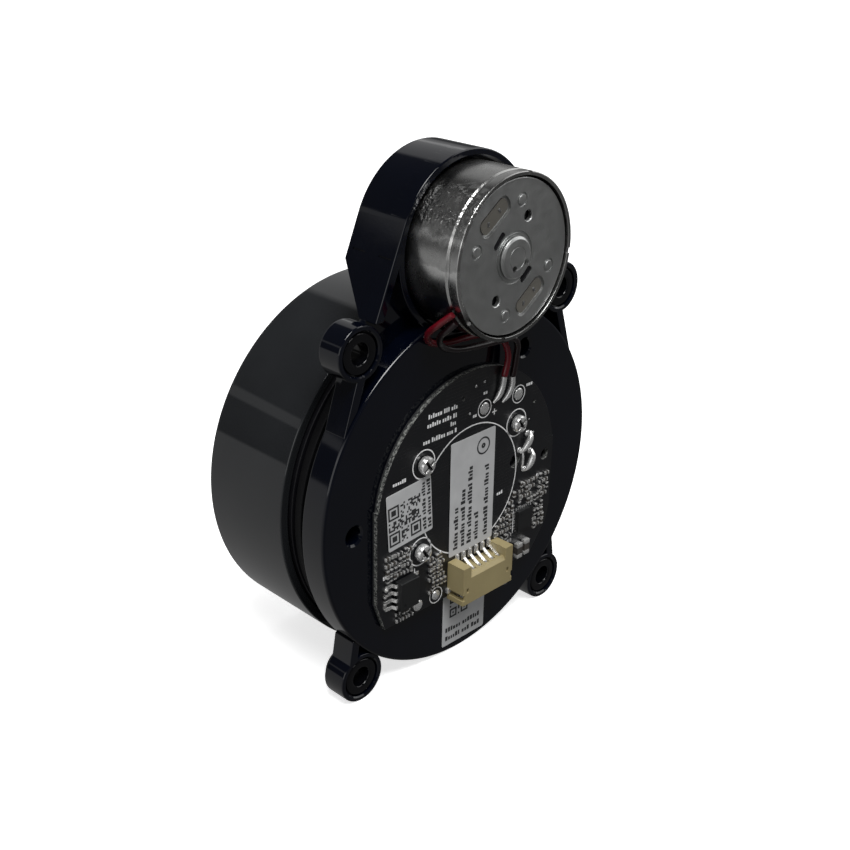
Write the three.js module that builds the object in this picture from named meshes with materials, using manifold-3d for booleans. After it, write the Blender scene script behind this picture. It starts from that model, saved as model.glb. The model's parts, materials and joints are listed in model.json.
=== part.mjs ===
// Lidar scanner module: a fixed base with a belt-driven turret that carries the optics.
// Everything is in millimetres. The design frame has the turret's spin axis on Y, with Y = 0 on the flat
// near face of the base, +Y towards the turret, +Z towards the motor and +X to the right. The last lines
// stand the module on its lower ears: origin at the middle of its footprint, +Z up.
import * as THREE from "three";
import { mergeVertices } from "three/addons/utils/BufferGeometryUtils.js";
import Module from "manifold-3d";

const wasm = await Module();
wasm.setup();

// ---- Driving dimensions ----
const gap = 0.15; // clearance left between fixed pieces
const standHeight = 29.85; // spin axis above the surface the module stands on

const baseRadius = 29.75;
const baseFloor = 2; // thickness of the flat floor of the base
const baseRim = 4.6; // depth of the rim of the base
const postRadius = 9.85; // the post carries the bearing
const postBore = 8.3;
const postTop = 10.2;

const motorHeight = 39; // motor axis above the spin axis
const canRadius = 12.2;
const canNear = -8.1;
const canFar = 3.2;
const canWall = 0.6;

const cupRadius = 13.85;
const cupNear = 1.2;
const cupFar = 10.8;
const wall = 1.3;
const cupBore = cupRadius - wall;
const flankTilt = (22.5 * Math.PI) / 180; // lean of the straight arm flanks away from the vertical
const flankFoot = 31; // height of the lower end of a flank
const flankStep = 38.1; // height where the flank's far edge starts to slope

const earX = 21.8;
const upperEarZ = 27.8;
const earRadius = 4.15;
const lowerEarZ = earRadius - standHeight;
const earNear = 0.4;
const earFar = baseRim;
const earHole = 2.6;

const bearing = { near: 5.3, far: 9.3, bore: 10, outside: 13.5, pitch: 11.8, ball: 0.95, balls: 12 };
const belt = { size: 1.5, y: 7.4, turretRadius: 27.45, pulleyRadius: 4.6 };

const turretNear = 9.3;
const turretFar = 26.9;
const turretRadius = 29.75;
const turretTop = 29.45;
const opticsX = 22.3; // front face of the optics bezel, across the spin axis
const opticsY = 18.2; // height of both optical axes along the spin axis
const receiverZ = 8.5;
const laserZ = -9.5;

const boardNear = -1.05;
const boardFar = -0.05;
const boardRadius = 20.3;
const boardScrews = [[-10.6, 7.8], [10.4, 8.1], [-11, -7]];
const connector = { x: 1.05, width: 11.7, back: -11.4, mouth: -18.1, height: 3.5, pitch: 1.5, pins: 6 };

const fine = 40; // sides of a large circle
const medium = 20;
const small = 12;

// ---- Materials ----
const material = (color, roughness, metalness = 0) =>
  new THREE.MeshStandardMaterial({ color, roughness, metalness });
const blackPlastic = material(0x17181b, 0.42);
const glossBlack = material(0x0d0d10, 0.12);
const darkRubber = material(0x1b1b1b, 0.85);
const steel = material(0xb4b6b8, 0.3, 1);
const plateSteel = material(0x8c8e90, 0.45, 1);
const brass = material(0xb08d4a, 0.3, 1);
const copper = material(0xb06a3c, 0.35, 1);
const ferrite = material(0x3a3a3e, 0.7);
const solderMask = material(0x15171a, 0.45);
const chipBlack = material(0x1f2023, 0.6);
const nylon = material(0xd6cda6, 0.5);
const foil = material(0xc9cacb, 0.4);
const lensGlass = material(0x2b3a4a, 0.05);
const redVinyl = material(0x7c1420, 0.4);
const blackVinyl = material(0x1c1013, 0.4);

// ---- Shape helpers ----
const module = new THREE.Group();

function add(name, geometry, surface) {
  const mesh = new THREE.Mesh(geometry, surface);
  mesh.name = name;
  module.add(mesh);
}

function solid(geometry) {
  const bare = geometry.clone();
  bare.deleteAttribute("normal");
  bare.deleteAttribute("uv");
  const merged = mergeVertices(bare, 1e-4);
  return new wasm.Manifold(
    new wasm.Mesh({
      numProp: 3,
      vertProperties: merged.attributes.position.array,
      triVerts: new Uint32Array(merged.index.array),
    }),
  );
}

function geometryOf(body) {
  const mesh = body.getMesh();
  return new THREE.BufferGeometry()
    .setAttribute("position", new THREE.BufferAttribute(mesh.vertProperties, 3))
    .setIndex(new THREE.BufferAttribute(mesh.triVerts, 1));
}

const join = (first, ...rest) => rest.reduce((body, next) => body.add(next), first);
const cut = (first, ...rest) => rest.reduce((body, next) => body.subtract(next), first);

// A turned piece: [radius, y] pairs in order, with the material on the left of the walk.
function turned(profile, sides = medium, x = 0, z = 0) {
  const points = profile.map(([radius, y]) => new THREE.Vector2(radius, y));
  if (profile[0][0] > 0) points.push(points[0].clone());
  return new THREE.LatheGeometry(points, sides).translate(x, 0, z);
}

const ring = (inner, outer, near, far, sides, x, z) =>
  turned([[inner, near], [outer, near], [outer, far], [inner, far]], sides, x, z);

const disc = (radius, near, far, sides, x, z) =>
  turned([[0, near], [radius, near], [radius, far], [0, far]], sides, x, z);

// A flat piece: an outline in X and Z, as thick as the distance from near to far along Y.
function slab(outline, near, far, curveSegments = 9) {
  const settings = { depth: far - near, bevelEnabled: false, curveSegments };
  return new THREE.ExtrudeGeometry(outline, settings).rotateX(Math.PI / 2).translate(0, far, 0);
}

const polygon = (points) => new THREE.Shape(points.map(([x, z]) => new THREE.Vector2(x, z)));

function box(x0, x1, near, far, z0, z1) {
  const block = new THREE.BoxGeometry(x1 - x0, far - near, z1 - z0);
  return block.translate((x0 + x1) / 2, (near + far) / 2, (z0 + z1) / 2);
}

// A round piece along X instead of Y, at the height of the optical axes.
const sideways = (geometry, z) => geometry.rotateZ(-Math.PI / 2).translate(0, opticsY, z);

const onCircle = (radius, degrees) => {
  const angle = (degrees * Math.PI) / 180;
  return [radius * Math.cos(angle), radius * Math.sin(angle)];
};

// ---- Base ----
// The outline of the arm around the motor: an arc of the given radius and two straight flanks that touch it.
function armOutline(radius, footZ) {
  const touchX = radius * Math.cos(flankTilt);
  const touchZ = motorHeight + radius * Math.sin(flankTilt);
  const footX = touchX + (touchZ - footZ) * Math.tan(flankTilt);
  const outline = new THREE.Shape();
  outline.moveTo(footX, footZ);
  outline.lineTo(touchX, touchZ);
  outline.absarc(0, motorHeight, radius, flankTilt, Math.PI - flankTilt, false);
  outline.lineTo(-footX, footZ);
  return outline;
}

const armWalls = () => {
  const outside = solid(slab(armOutline(cupRadius, flankFoot), cupNear, cupFar));
  const inside = solid(slab(armOutline(cupBore, baseRadius - 9), cupNear - 1, cupFar + 1));
  const rise = cupFar - baseRim;
  const drop = flankStep - flankFoot;
  const slope = polygon([[0, 0], [rise + 3, drop + 3 * (drop / rise)], [rise + 3, 0]]);
  const wedge = new THREE.ExtrudeGeometry(slope, { depth: 60, bevelEnabled: false });
  // The wedge's own X runs along the spin axis and its own Z runs across the arm.
  wedge.applyMatrix4(
    new THREE.Matrix4().makeBasis(
      new THREE.Vector3(0, 1, 0),
      new THREE.Vector3(0, 0, 1),
      new THREE.Vector3(1, 0, 0),
    ),
  );
  wedge.translate(-30, baseRim, flankFoot);
  return cut(outside, inside, solid(wedge));
};

function armFloor() {
  const outline = armOutline(cupRadius, flankFoot);
  outline.lineTo(-earX, upperEarZ);
  outline.lineTo(-earX - 1.7, 18.3);
  outline.lineTo(earX + 1.7, 18.3);
  outline.lineTo(earX, upperEarZ);
  return solid(slab(outline, canFar + gap, baseRim));
}

const motorScrews = [[-7.5, motorHeight], [7.5, motorHeight]];
const coverScrews = [[-7.5, motorHeight + 7.5], [7.5, motorHeight + 7.5]];
const ears = [[-earX, upperEarZ], [earX, upperEarZ], [-earX, lowerEarZ], [earX, lowerEarZ]];
const floorHoles = [57.5, 179.5, 298].map((degrees) => onCircle(23.7, degrees));

function ear([x, z]) {
  const side = Math.sign(x);
  const up = Math.sign(z);
  const foot = [side * 22.9, up * 18.4];
  const head = [side * (up > 0 ? 21.7 : 23.6), up * (up > 0 ? 24 : 22.6)];
  const rib = polygon([
    [head[0] - 0.8, head[1]],
    [foot[0] - 0.8, foot[1]],
    [foot[0] + 0.8, foot[1]],
    [head[0] + 0.8, head[1]],
  ]);
  const web = polygon([[x, z], foot, [side * 18, up * 22.5]]);
  return join(
    solid(disc(earRadius, earNear, earFar, 20, x, z)),
    solid(slab(rib, earNear, earFar)),
    solid(slab(web, earFar - 1.2, earFar)),
  );
}

function makeBaseFrame() {
  const plate = turned(
    [
      [2, 0], [baseRadius - 0.5, 0], [baseRadius, 0.5], [baseRadius, baseRim],
      [baseRadius - 1.6, baseRim], [baseRadius - 1.6, baseFloor],
      [postRadius + 1.1, baseFloor], [postRadius + 1.1, bearing.near - 0.1],
      [postRadius, bearing.near - 0.1], [postRadius, bearing.far + 0.1],
      [postRadius - 0.5, bearing.far + 0.1], [postRadius - 0.5, bearing.far + 0.7],
      [postRadius, bearing.far + 0.7], [postRadius, postTop],
      [postBore, postTop], [postBore, baseFloor], [2, baseFloor],
    ],
    fine,
  );
  let body = join(solid(plate), armFloor(), armWalls(), ...ears.map(ear));
  body = body.add(solid(disc(cupRadius, cupNear, baseRim, fine, 0, motorHeight)));
  body = body.subtract(solid(disc(cupBore, -1, canFar + gap, fine, 0, motorHeight)));
  for (const [x, z] of coverScrews) {
    body = body.add(solid(disc(2, baseRim - 0.1, 9.5, small, x, z)));
    body = body.subtract(solid(disc(1, baseRim + 0.6, 9.6, small, x, z)));
  }
  for (const [x, z] of boardScrews) {
    body = body.add(solid(disc(2, baseFloor - 0.1, baseRim, small, x, z)));
    body = body.subtract(solid(disc(1, -1, baseRim + 1, small, x, z)));
  }
  for (const [x, z] of motorScrews) body = body.subtract(solid(disc(1.1, 0, baseRim + 1, small, x, z)));
  for (const [x, z] of floorHoles) body = body.subtract(solid(disc(1.45, -1, baseFloor + 1, small, x, z)));
  for (const [x, z] of ears) {
    body = body.subtract(solid(disc(earHole, -1, 6, small, x, z)));
    body = body.subtract(solid(disc(earHole + 0.7, -1, earNear + 1, small, x, z)));
  }
  const shaftHole = disc(3, 0, baseRim + 1, small, 0, motorHeight);
  add("base_frame", geometryOf(cut(body, solid(shaftHole))), blackPlastic);
}

function makeEarGrommets() {
  const names = ["upper_left", "upper_right", "lower_left", "lower_right"];
  const profile = [
    [1.6, earNear + 0.2], [3.1, earNear + 0.2], [3.1, earNear + 0.9], [2.4, earNear + 0.9],
    [2.4, earFar + gap], [3.3, earFar + gap], [3.3, earFar + 0.9], [1.6, earFar + 0.9],
  ];
  ears.forEach(([x, z], i) => add("grommet_" + names[i], turned(profile, small, x, z), darkRubber));
}

function makePulleyCover() {
  const outline = armOutline(cupBore - gap, flankStep - 0.4);
  const near = cupFar - 1.2;
  const holes = coverScrews.map(([x, z]) => solid(disc(1, near - 1, cupFar + 1, small, x, z)));
  add("pulley_cover", geometryOf(cut(solid(slab(outline, near, cupFar - 0.2)), ...holes)), blackPlastic);
}

// A pan-head screw along Y: the head starts at headY and stands towards side (+1 or -1).
function screw(name, x, z, headY, side, headRadius, headHeight, shankRadius, shankLength) {
  const points = [
    [0, headY - side * shankLength],
    [shankRadius, headY - side * shankLength],
    [shankRadius, headY],
    [headRadius, headY],
    [headRadius, headY + side * headHeight * 0.5],
    [headRadius * 0.7, headY + side * headHeight],
    [0, headY + side * headHeight],
  ];
  add(name, turned(side > 0 ? points : points.reverse(), small, x, z), steel);
}

// ---- Motor ----
function makeMotor() {
  const can = turned(
    [
      [1.6, canFar - 1], [canRadius - canWall, canFar - 1], [canRadius - canWall, canNear],
      [canRadius, canNear], [canRadius, -6.7], [canRadius - 0.25, -6.5], [canRadius - 0.25, -6.1],
      [canRadius, -5.9], [canRadius, canFar - 0.4], [canRadius - 0.4, canFar], [1.6, canFar],
    ],
    fine,
    0,
    motorHeight,
  );
  const screwHoles = motorScrews.map(([x, z]) => solid(disc(1, 0, 5, small, x, z)));
  add("motor_can", geometryOf(cut(solid(can), ...screwHoles)), steel);

  const plate = solid(ring(2.3, canRadius - canWall - gap, -7.7, -7, fine, 0, motorHeight));
  const toolHoles = [[2.6, 5.9], [-3.5, -5.5]].map(([x, z]) =>
    solid(disc(0.7, -9, -6, small, x, motorHeight + z)),
  );
  add("motor_end_plate", geometryOf(cut(plate, ...toolHoles)), plateSteel);

  const cap = [[0, -8.3], [3.1, -8.3], [3.1, -7.8], [2.1, -7.8], [2.1, -6], [0, -6]];
  add("motor_bush", turned(cap, medium, 0, motorHeight), plateSteel);
  add("motor_brush_plate", ring(2.4, 11.2, -6.8, -6.2, medium, 0, motorHeight), nylon);
  add("motor_magnet", ring(9.4, 11.4, -5.9, 1.6, medium, 0, motorHeight), ferrite);

  const core = [
    [1.15, -5.8], [3, -5.8], [3, -4.4], [8.7, -4.4], [8.7, 0.4], [4, 0.4], [4, 1.6], [1.15, 1.6],
  ];
  add("motor_rotor", turned(core, medium, 0, motorHeight), copper);
  add("motor_shaft", disc(1, -5.7, 9.2, small, 0, motorHeight), steel);
}

function makeDrive() {
  const groove = belt.pulleyRadius - belt.size / 2 - gap;
  const pulley = [
    [1.15, 5.3], [5.5, 5.3], [5.5, 6.1], [groove, 6.5], [groove, 8.3], [5.5, 8.7], [5.5, 9.2], [1.15, 9.2],
  ];
  add("motor_pulley", turned(pulley, medium, 0, motorHeight), nylon);

  const lean = Math.asin((belt.turretRadius - belt.pulleyRadius) / motorHeight);
  const loop = (offset) => {
    const path = new THREE.Shape();
    path.absarc(0, 0, belt.turretRadius + offset, Math.PI - lean, 2 * Math.PI + lean, false);
    path.absarc(0, motorHeight, belt.pulleyRadius + offset, lean, Math.PI - lean, false);
    path.closePath();
    return path;
  };
  const outline = loop(belt.size / 2);
  outline.holes.push(loop(-belt.size / 2));
  add("drive_belt", slab(outline, belt.y - belt.size / 2, belt.y + belt.size / 2, 14), darkRubber);
}

// ---- Bearing and wireless link ----
function makeBearing() {
  const { near, far, bore, outside, pitch, ball, balls } = bearing;
  const middle = (near + far) / 2;
  const shoulder = pitch - 0.7;
  const inner = [
    [bore, near], [shoulder, near], [shoulder, middle - 0.95], [shoulder - 0.38, middle - 0.45],
    [shoulder - 0.38, middle + 0.45], [shoulder, middle + 0.95], [shoulder, far], [bore, far],
  ];
  const outer = [
    [pitch + 0.7, near], [outside, near], [outside, far], [pitch + 0.7, far],
    [pitch + 0.7, middle + 0.95], [pitch + 1.08, middle + 0.45],
    [pitch + 1.08, middle - 0.45], [pitch + 0.7, middle - 0.95],
  ];
  add("bearing_inner_ring", turned(inner, 36), steel);
  add("bearing_outer_ring", turned(outer, 36), steel);
  let cage = solid(ring(pitch - 0.4, pitch + 0.4, middle - 0.3, middle + 0.3, 36));
  for (let i = 0; i < balls; i++) {
    const [x, z] = onCircle(pitch, (360 / balls) * i);
    cage = cage.add(solid(new THREE.SphereGeometry(ball, 6, 4).translate(x, middle, z)));
  }
  add("bearing_balls", geometryOf(cage), steel);
  const clip = solid(ring(postRadius - 0.35, postRadius + 1, far + 0.2, far + 0.6, 36));
  add("bearing_clip", geometryOf(clip.subtract(solid(box(-1.5, 1.5, far, far + 1, -12, -8)))), steel);
}

function makeWirelessLink() {
  // Each half is a ferrite ring with a winding in the open groove of its face.
  const half = (name, near, far, grooveNear, grooveFar, coilNear, coilFar) => {
    const core = solid(ring(2.6, 7.6, near, far, medium));
    const groove = solid(ring(4.2, 6.6, grooveNear, grooveFar, medium));
    add("ferrite_" + name, geometryOf(cut(core, groove)), ferrite);
    add("coil_" + name, ring(4.4, 6.4, coilNear, coilFar, medium), copper);
  };
  half("base", 2.15, 6.3, 3.3, 7, 3.45, 6.1);
  half("turret", 7, 11.1, 6, 9.9, 7.2, 9.75);
  const emitter = [[0, 0.1], [1.5, 0.1], [1.5, 1.6], [0.9, 2.3], [0, 2.6]];
  const receiver = [[0, 9.4], [0.9, 9.7], [1.5, 10.4], [1.5, 11.4], [0, 11.4]];
  add("link_emitter", turned(emitter, small), lensGlass);
  add("link_receiver", turned(receiver, small), lensGlass);
}

// ---- Circuit board on the base ----
function makeWirelessBoard() {
  const shoulder = Math.asin(2.8 / boardRadius);
  const outline = new THREE.Shape();
  outline.moveTo(20.1, 2.8);
  outline.absarc(0, 0, boardRadius, shoulder, Math.PI - shoulder, false);
  for (const [x, z] of [[-20.1, -13], [-18.4, -17.8], [15.6, -17.8], [19.4, -13], [20.1, -10]])
    outline.lineTo(x, z);
  const holes = boardScrews.map(([x, z]) => solid(disc(1, -2, 1, small, x, z)));
  const board = solid(slab(outline, boardNear, boardFar, 14));
  add("wireless_board", geometryOf(cut(board, ...holes)), solderMask);
  boardScrews.forEach(([x, z], i) =>
    screw("board_screw_" + (i + 1), x, z, boardNear - 0.1, -1, 1.9, 1.2, 0.8, 4),
  );
}

function makeBoardParts() {
  const top = boardNear - 0.1;
  const chip = (name, x, z, width, length, height) => {
    const block = new THREE.BoxGeometry(width, height, length);
    add(name, block.translate(x, top - height / 2, z), chipBlack);
  };
  chip("driver_chip", -14.6, -12.4, 3.9, 4.9, 1.5);
  chip("controller_chip", 13, -10, 3.6, 3.6, 0.8);
}

function makeConnector() {
  const { x, width, back, mouth, height, pitch, pins } = connector;
  const near = boardNear - 0.07 - height;
  const far = boardNear - 0.07;
  const left = x - width / 2;
  const right = x + width / 2;
  const pinY = near + 1.35;
  let body = solid(box(left, right, near, far, mouth, back));
  body = body.subtract(solid(box(left + 1.8, right - 1.8, near - 1, far + 1, back - 1.5, back + 1)));
  body = body.subtract(solid(box(left + 0.8, right - 0.8, near + 0.7, far - 0.6, mouth - 1, back - 2.4)));
  for (const side of [left, right])
    body = body.subtract(solid(box(side - 0.5, side + 0.5, near - 0.1, far - 0.3, mouth + 0.9, mouth + 2.2)));
  for (let i = 0; i < pins; i++) {
    const px = x + (i - (pins - 1) / 2) * pitch;
    body = body.subtract(solid(box(px - 0.4, px + 0.4, pinY - 0.45, pinY + 0.45, back - 2.6, back)));
  }
  add("connector_housing", geometryOf(body), nylon);

  // The pins stand in one row, held together by a moulded bar inside the housing.
  const span = ((pins - 1) / 2) * pitch;
  let row = solid(box(x - span - 0.4, x + span + 0.4, pinY - 0.4, pinY + 0.4, back - 3.4, back - 2.6));
  for (let i = 0; i < pins; i++) {
    const px = x - span + i * pitch;
    row = join(
      row,
      solid(box(px - 0.25, px + 0.25, far - 0.2, far - 0.02, back - 0.9, back + 0.5)),
      solid(box(px - 0.25, px + 0.25, pinY - 0.25, far - 0.02, back - 0.9, back - 0.5)),
      solid(box(px - 0.25, px + 0.25, pinY - 0.25, pinY + 0.2, mouth + 1.5, back - 0.5)),
    );
  }
  add("connector_pins", geometryOf(row), steel);
}

function makeLabels() {
  const sheet = (name, x, z, width, length, face, turn) => {
    const label = box(-width / 2, width / 2, -0.1, 0, -length / 2, length / 2);
    add(name, label.rotateY(turn).translate(x, face, z), foil);
  };
  const degree = Math.PI / 180;
  sheet("centre_label", 0.25, -0.7, 10.2, 20, boardNear - 0.1, 0);
  sheet("code_label", -13.55, 0.65, 9.4, 9.6, boardNear - 0.1, 4 * degree);
  sheet("base_label", 0.45, -23.4, 10.1, 9.8, -0.05, 0);
}

// ---- Motor leads ----
function makeLead(name, route, surface) {
  const points = route.map((point) => new THREE.Vector3(...point));
  const path = new THREE.CatmullRomCurve3(points, false, "centripetal");
  const section = new THREE.Shape();
  section.absarc(0, 0, 0.5, 0, 2 * Math.PI, false);
  const settings = { steps: 30, extrudePath: path, curveSegments: 4 };
  add(name, new THREE.ExtrudeGeometry(section, settings), surface);
}

const redRoute = [
  [-11.3, -6.7, 32.9], [-11.6, -5.4, 31.8], [-11.9, -4.2, 30.7], [-11.8, -2.9, 29.6], [-11.3, -1.9, 28.5],
  [-10.3, -1.1, 27.4], [-8.9, -0.7, 26.5], [-6.9, -0.6, 25.9], [-4.6, -0.6, 25.6], [-2.2, -0.6, 25.5],
  [0.2, -0.6, 25.3], [2.6, -0.7, 25], [4.4, -0.8, 24.5], [5.8, -1.1, 23.6], [6.5, -1.5, 22.3],
  [6.7, -1.8, 20.8], [6.5, -1.8, 19.2], [6, -1.8, 17.5], [5.8, -1.75, 16], [5.5, -1.7, 14.8],
  [5, -1.65, 13.6],
];
const blackRoute = [
  [-10.6, -6.7, 31.6], [-10.9, -5.6, 30.4], [-10.9, -4.4, 29.3], [-10.3, -3.4, 28.2], [-9.3, -2.6, 27],
  [-7.9, -2.1, 25.9], [-6, -1.9, 25.1], [-3.6, -1.9, 24.6], [-1.2, -1.9, 24.3], [1.2, -2, 24.1],
  [3.6, -2.2, 24], [5.6, -2.5, 24], [7.3, -2.5, 23.4], [8.2, -2.3, 22.1], [8.4, -2, 20.6], [8.3, -1.9, 19],
  [8, -1.8, 17], [8, -1.75, 15.4], [7.6, -1.7, 14.1], [6.9, -1.65, 13],
];

// ---- Turret ----
const coverPosts = [60, 180, 300].map((degrees) => onCircle(24.2, degrees));
const turretBoardScrews = [100, 180, 260].map((degrees) => onCircle(17.5, degrees));

function makeTurretBase() {
  const groove = belt.turretRadius - belt.size / 2 - gap;
  const hub = bearing.outside + 0.1;
  const plate = turned(
    [
      [hub - 0.9, 9.45], [hub, 9.45], [hub, 5.4], [hub + 1.9, 5.4], [hub + 1.9, 9.6], [25.3, 9.6],
      [25.3, 5.4], [28.2, 5.4], [28.2, 6.1], [groove, 6.5], [groove, 8.3], [28.2, 8.7], [28.2, 10.8],
      [hub - 0.9, 10.8],
    ],
    fine,
  );
  let body = solid(plate);
  for (const [x, z] of coverPosts) {
    body = body.add(solid(disc(2.2, 10.7, turretFar - 1.75, small, x, z)));
    body = body.subtract(solid(disc(1, 16, turretFar, small, x, z)));
  }
  for (const [x, z] of turretBoardScrews) {
    body = body.add(solid(disc(2, 10.7, 11.45, small, x, z)));
    body = body.subtract(solid(disc(1, 9, 12, small, x, z)));
  }
  add("turret_base", geometryOf(body), blackPlastic);
}

function makeTurretCover() {
  const shell = turned(
    [
      [0, turretFar - 1.6], [28.1, turretFar - 1.6], [28.4, turretNear], [turretRadius - 0.25, turretNear],
      [turretRadius, turretNear + 0.25], [turretTop, turretFar - 0.9], [turretTop - 0.3, turretFar - 0.25],
      [turretTop - 0.9, turretFar], [0, turretFar],
    ],
    fine,
  );
  let body = cut(solid(shell), solid(box(opticsX, 31, 11.4, 24.6, -16.6, 16.6)));
  for (const [x, z] of coverPosts) {
    body = body.subtract(solid(disc(1, 20, 28, small, x, z)));
    body = body.subtract(solid(disc(2.3, turretFar - 1, 28, small, x, z)));
  }
  add("turret_cover", geometryOf(body), glossBlack);
}

function makeOptics() {
  const bezel = cut(
    solid(box(opticsX - 1, opticsX - gap, 11.2, turretFar - 1.8, -17, 17)),
    solid(sideways(disc(5.2, 15, 30, medium), receiverZ)),
    solid(sideways(disc(3.5, 15, 30, medium), laserZ)),
  );
  add("optics_bezel", geometryOf(bezel), blackPlastic);
  const carrier = cut(
    solid(box(5.2, opticsX - 1.3, 12.95, 24.2, -15.6, 15.6)),
    solid(sideways(disc(5.1, 0, 30, medium), receiverZ)),
    solid(sideways(disc(3.3, 0, 30, medium), laserZ)),
  );
  add("optics_carrier", geometryOf(carrier), blackPlastic);
  add("receiver_barrel", sideways(ring(4.2, 4.9, 9, 23.4, medium), receiverZ), blackPlastic);
  const lens = [[0, 21], [4.1, 21], [4.1, 21.8], [2.9, 22.6], [1.4, 23], [0, 23.1]];
  add("receiver_lens", sideways(turned(lens, medium), receiverZ), lensGlass);
  const diode = [[0, 8], [3.1, 8], [3.1, 21.9], [2.5, 21.9], [2.5, 20.6], [0, 20.6]];
  add("laser_module", sideways(turned(diode, medium), laserZ), brass);
  const window = [[0, 20.8], [2.35, 20.8], [2.35, 21.5], [0, 22.1]];
  add("laser_lens", sideways(turned(window, medium), laserZ), lensGlass);
  add("sensor_board", box(3.8, 4.9, 12.95, 23.6, 1.4, 15.6), solderMask);
  add("image_sensor", box(5, 6.1, opticsY - 3, opticsY + 3, receiverZ - 3, receiverZ + 3), chipBlack);
}

function makeTurretBoard() {
  const holes = turretBoardScrews.map(([x, z]) => solid(disc(1, 10, 14, small, x, z)));
  add("turret_board", geometryOf(cut(solid(disc(20.8, 11.55, 12.75, fine)), ...holes)), solderMask);
  add("turret_chip", box(-11.5, -4.5, 12.85, 13.9, -3.5, 3.5), chipBlack);
  turretBoardScrews.forEach(([x, z], i) =>
    screw("turret_board_screw_" + (i + 1), x, z, 12.85, 1, 1.9, 1.2, 0.8, 2.6),
  );
  coverPosts.forEach(([x, z], i) =>
    screw("turret_cover_screw_" + (i + 1), x, z, turretFar - 0.9, 1, 2.05, 0.8, 0.8, 8),
  );
}

// ---- The module ----
makeBaseFrame();
makeEarGrommets();
makePulleyCover();
coverScrews.forEach(([x, z], i) =>
  screw("pulley_cover_screw_" + (i + 1), x, z, cupFar - 0.1, 1, 1.8, 1, 0.8, 4.5),
);
motorScrews.forEach(([x, z], i) =>
  screw("motor_screw_" + (i + 1), x, z, baseRim + 0.1, 1, 1.5, 0.8, 0.8, 2),
);
makeMotor();
makeDrive();
makeBearing();
makeWirelessLink();
makeWirelessBoard();
makeBoardParts();
makeConnector();
makeLabels();
makeLead("motor_lead_red", redRoute, redVinyl);
makeLead("motor_lead_black", blackRoute, blackVinyl);
makeTurretBase();
makeTurretCover();
makeOptics();
makeTurretBoard();

module.position.set(0, -(canNear - 0.2 + turretFar) / 2, standHeight);

export default module;
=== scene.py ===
import json
import math
import random

import bmesh
import bpy
from mathutils import Matrix, Vector


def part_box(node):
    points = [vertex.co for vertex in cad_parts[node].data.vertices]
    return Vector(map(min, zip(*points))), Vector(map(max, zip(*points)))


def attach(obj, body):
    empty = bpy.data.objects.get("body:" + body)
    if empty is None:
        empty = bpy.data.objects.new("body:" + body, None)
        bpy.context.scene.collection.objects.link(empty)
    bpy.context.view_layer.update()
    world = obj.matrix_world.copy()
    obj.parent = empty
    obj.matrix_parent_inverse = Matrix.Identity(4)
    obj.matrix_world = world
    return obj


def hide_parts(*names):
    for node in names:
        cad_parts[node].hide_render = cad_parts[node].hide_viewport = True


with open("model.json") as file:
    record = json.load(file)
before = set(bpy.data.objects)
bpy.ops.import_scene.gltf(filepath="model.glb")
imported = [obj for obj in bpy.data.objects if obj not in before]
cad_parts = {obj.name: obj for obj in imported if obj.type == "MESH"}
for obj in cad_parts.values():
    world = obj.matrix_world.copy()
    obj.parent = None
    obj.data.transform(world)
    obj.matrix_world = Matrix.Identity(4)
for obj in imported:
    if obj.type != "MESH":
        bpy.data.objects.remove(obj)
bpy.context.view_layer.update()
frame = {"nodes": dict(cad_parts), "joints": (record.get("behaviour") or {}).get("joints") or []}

MM = 0.001
hinges = {joint["name"]: Vector(joint["pos_m"]) / MM for joint in frame["joints"]}
origin = Vector((0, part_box("base_frame")[0].y / MM, hinges["turret_spin"].z))
DESIGN = Matrix.Scale(MM, 4) @ Matrix.Translation(origin)


def span(node):
    """Lowest and highest corner of a CAD node in design millimetres."""
    low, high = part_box(node)
    return low / MM - origin, high / MM - origin


def middle(node):
    low, high = span(node)
    return (low + high) / 2


def spot_of(node):
    """The X and Z of a CAD node's middle."""
    centre = middle(node)
    return centre.x, centre.z


def numbered(name, count):
    """The spots of CAD nodes that differ only in their number."""
    return [spot_of(f"{name}_{i + 1}") for i in range(count)]


# ---- Sizes taken from the frame, and driving sizes that it doesn't hold ----
MOTOR = hinges["pulley_spin"].z - origin.z
BASE_R = span("base_frame")[1].x
CAN_NEAR, CAN_FAR = span("motor_can")[0].y, span("motor_can")[1].y
CAN_R = span("motor_can")[1].x
BOARD_NEAR, BOARD_FAR = span("wireless_board")[0].y, span("wireless_board")[1].y
BOARD_R = span("wireless_board")[1].z
DRUM_NEAR, DRUM_FAR = span("turret_cover")[0].y, span("turret_cover")[1].y
DRUM_R = span("turret_cover")[1].x
# How far the base's rim stands from its near face.
RIM = 4.6
# The arm is a cup round the motor with two straight flanks, which lean outwards down to the base.
CUP_R = span("base_frame")[1].z - MOTOR
CUP_NEAR, CUP_FAR = 1.2, span("base_frame")[1].y
CUP_WALL = 1.3
FLANK_TILT = math.radians(22.5)
# The height of the flanks' lower edge at the rim, and at the arm's far side.
FLANK_FOOT, FLANK_STEP = 31, 38.1
EARS = {
    name: spot_of("grommet_" + name) for name in ("upper_left", "upper_right", "lower_left", "lower_right")
}
EAR_R, EAR_NEAR = 4.15, 0.4
# The belt's middle line, and its radius on the turret and on the pulley.
BELT_Y = middle("drive_belt").y
BELT_R, PULLEY_R = 27.45, 4.6
BOARD_SCREWS = numbered("board_screw", 3)
COVER_SCREWS = numbered("turret_cover_screw", 3)
PULLEY_COVER_SCREWS = numbered("pulley_cover_screw", 2)
# Solder pads reach this far into the board, so that no gap shows below them.
SUNK = 0.01


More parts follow.
